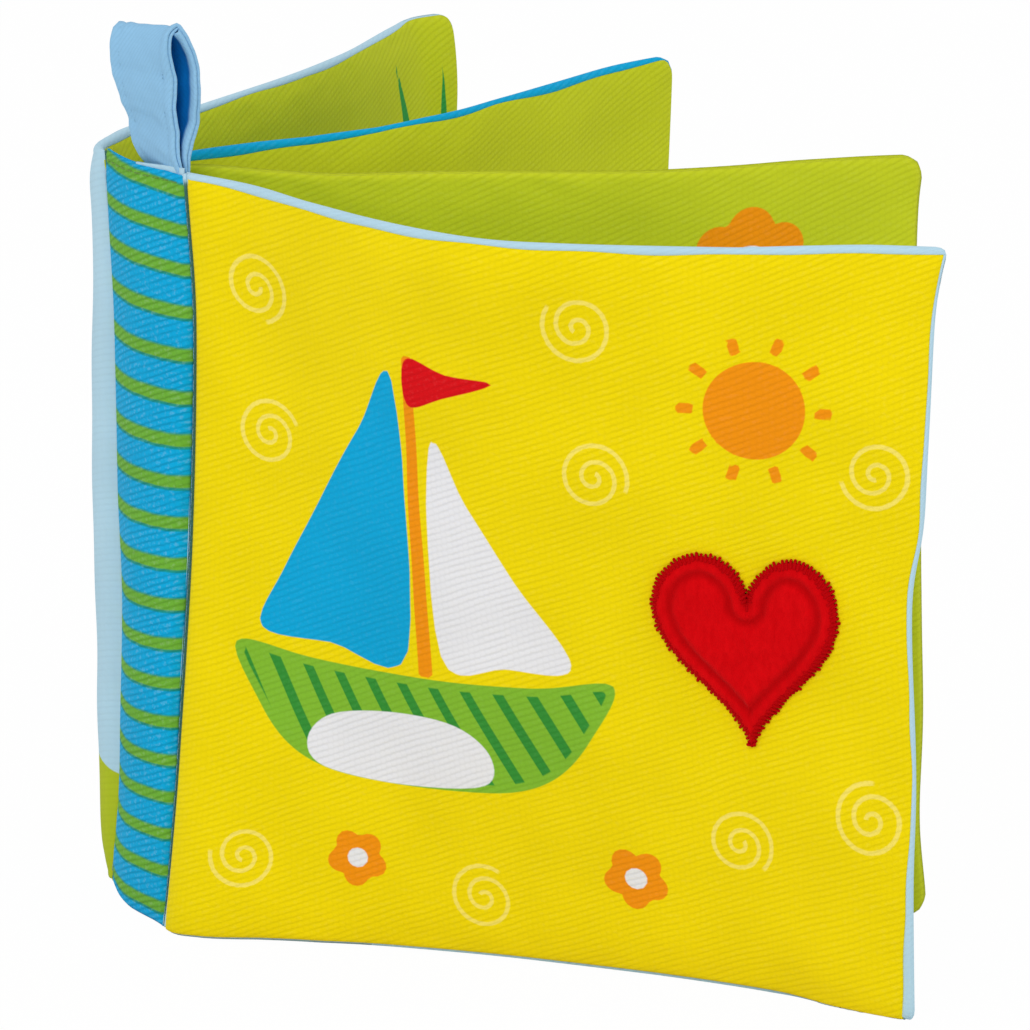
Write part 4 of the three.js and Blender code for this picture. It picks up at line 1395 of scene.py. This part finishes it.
# Half of the tape's section: two layers folded together, with a fat lip each at the edges
def tapeSection():
    half, edge, lip = loop["half"], loop["width"] / 2, loop["lip"]
    turns = np.radians(np.linspace(-75, 90, 8))
    curve = [(edge - lip + lip * math.cos(a), lip + lip * math.sin(a)) for a in turns]
    face = np.linspace(edge - lip - 0.5, lip + 0.5 - edge, 27)
    inside = edge - np.abs(face)
    top = mixed(half, 2 * lip, np.exp(-((inside - 0.9) / 1.1) ** 2))
    top = top - 0.22 * np.exp(-((inside - loop["stitchFrom"]) / 0.4) ** 2)
    near = [(edge - lip - 0.15, 0.0)] + curve
    return np.array(near + list(zip(face, top)) + [(-w, out) for w, out in near[::-1]])


def makeLoop():
    outer = tapeSection()
    ring = np.concatenate([outer, outer[1:-1][::-1] * (1, -1)])
    count, steps = len(ring), loop["steps"]
    at, across = np.meshgrid(np.linspace(0, tapeAt[-1], steps), ring[:, 0], indexing="ij")
    points = loopPoint(at, across, np.broadcast_to(ring[:, 1], at.shape)).reshape(-1, 3)
    faces = gridFaces(steps, count, True, 0, True)
    for k in range(len(outer) - 1):
        cap = list(dict.fromkeys([k, k + 1, (count - k - 1) % count, (count - k) % count]))
        faces += [cap, [v + (steps - 1) * count for v in cap[::-1]]]
    # The inner faces take the deeper blue: partly the tape's dye, partly painted shade inside the loop
    innerDyeAndShade = smooth(loop["width"] / 2 - np.abs(ring[:, 0]), 0.9, 1.6) * (ring[:, 1] < 0)
    piece = buildMesh("hang_loop_tape", points, faces, listed(across, at), {"inside": np.tile(innerDyeAndShade, steps)})
    pointOutwards(piece)
    return piece


def sewLoop():
    pitch, lifted = loop["stitchPitch"], loop["half"]
    at = np.arange(3.0, tapeAt[-1] - 3, pitch)
    across = np.repeat((-1, 1), len(at)) * (loop["width"] / 2 - loop["stitchFrom"])
    at = np.tile(at, 2)
    starts, ends = (loopPoint(way, across, lifted - 0.2) for way in (at, at + pitch * 0.8))
    outward = loopPoint(at, across, lifted + 2.0) - starts
    return sewStitches("hang_loop_stitches", starts, ends, outward, 0.3, 0.08)


def tapeDyeAndShade(tree, flat):
    return mixColour(tree, attributeNode(tree, "inside"), linear("loopBlue"), linear("loopInside"))


tapeCloth = clothMaterial("loopTape", tapeDyeAndShade, {
    "group": twillGroup("tapeWeave", 0.9, 0.9, 1.1), "fleck": 0.0, "groove": 0.05, "bumpDistance": 0.0001})
tape = finishPiece(makeLoop(), tapeCloth, "loop_tape", "hang_loop")
tapeStitches = finishPiece(sewLoop(), threadMaterial("tapeThread", (140, 188, 222)), "loop_tape")
for piece in (tape, tapeStitches):
    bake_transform(piece)
print("loop made")

# Floor, backdrop and light

studio = {
    "floorSize": 6.0,
    "floorGlow": 0.98,
    "worldStrength": 0.76,
    "aim": (0.05, 0, 0.08),
    # Each lamp's place, size and power
    "lamps": {"key": ((-0.9, -0.9, 1.1), 0.9, 7.2), "fill": ((0.9, -1.0, 0.7), 1.2, 2.4)},
}


# Shows the second shader to the camera, also by reflection, and lets the first light the book
def mixBySight(tree, lighting, shown, share, output):
    path = addNode(tree, "LightPath").outputs
    seen = mathNode(tree, "MAXIMUM", path["Is Camera Ray"], path["Is Glossy Ray"])
    seen = mathNode(tree, "MAXIMUM", seen, path["Is Transmission Ray"])
    inputs = {"Fac": mathNode(tree, "MULTIPLY", seen, share), 1: lighting.outputs[0], 2: shown.outputs[0]}
    feed(tree, tree.nodes[output].inputs["Surface"], addNode(tree, "MixShader", inputs).outputs[0])


def makeFloor():
    selectOnly()
    bpy.ops.mesh.primitive_plane_add(size=studio["floorSize"], location=(0, 0, -0.0002))
    floor = bpy.context.object
    floor.name = "floor"
    material = bpy.data.materials.new("floor")
    material.use_nodes = True
    tree = material.node_tree
    shader = tree.nodes["Principled BSDF"]
    settings = {"Base Color": (0.86, 0.86, 0.86, 1), "Roughness": 0.9, "Specular IOR Level": 0.1}
    for key, value in settings.items():
        shader.inputs[key].default_value = value
    glow = addNode(tree, "Emission", {"Strength": 1.0})
    mixBySight(tree, shader, glow, studio["floorGlow"], "Material Output")
    floor.data.materials.append(material)


makeFloor()
world = bpy.data.worlds.new("studio")
bpy.context.scene.world = world
world.use_nodes = True
lit = world.node_tree.nodes["Background"]
lit.inputs["Color"].default_value = (1, 1, 1, 1)
lit.inputs["Strength"].default_value = studio["worldStrength"]
seenWhite = addNode(world.node_tree, "Background", {"Strength": 1.0})
mixBySight(world.node_tree, lit, seenWhite, 1.0, "World Output")

for name, (place, size, power) in studio["lamps"].items():
    data = bpy.data.lights.new(name, "AREA")
    data.size, data.energy = size, power
    lamp = bpy.data.objects.new(name, data)
    lamp.location = place
    lamp.rotation_euler = (Vector(studio["aim"]) - Vector(place)).to_track_quat("-Z", "Y").to_euler()
    bpy.context.scene.collection.objects.link(lamp)
print("studio ready")
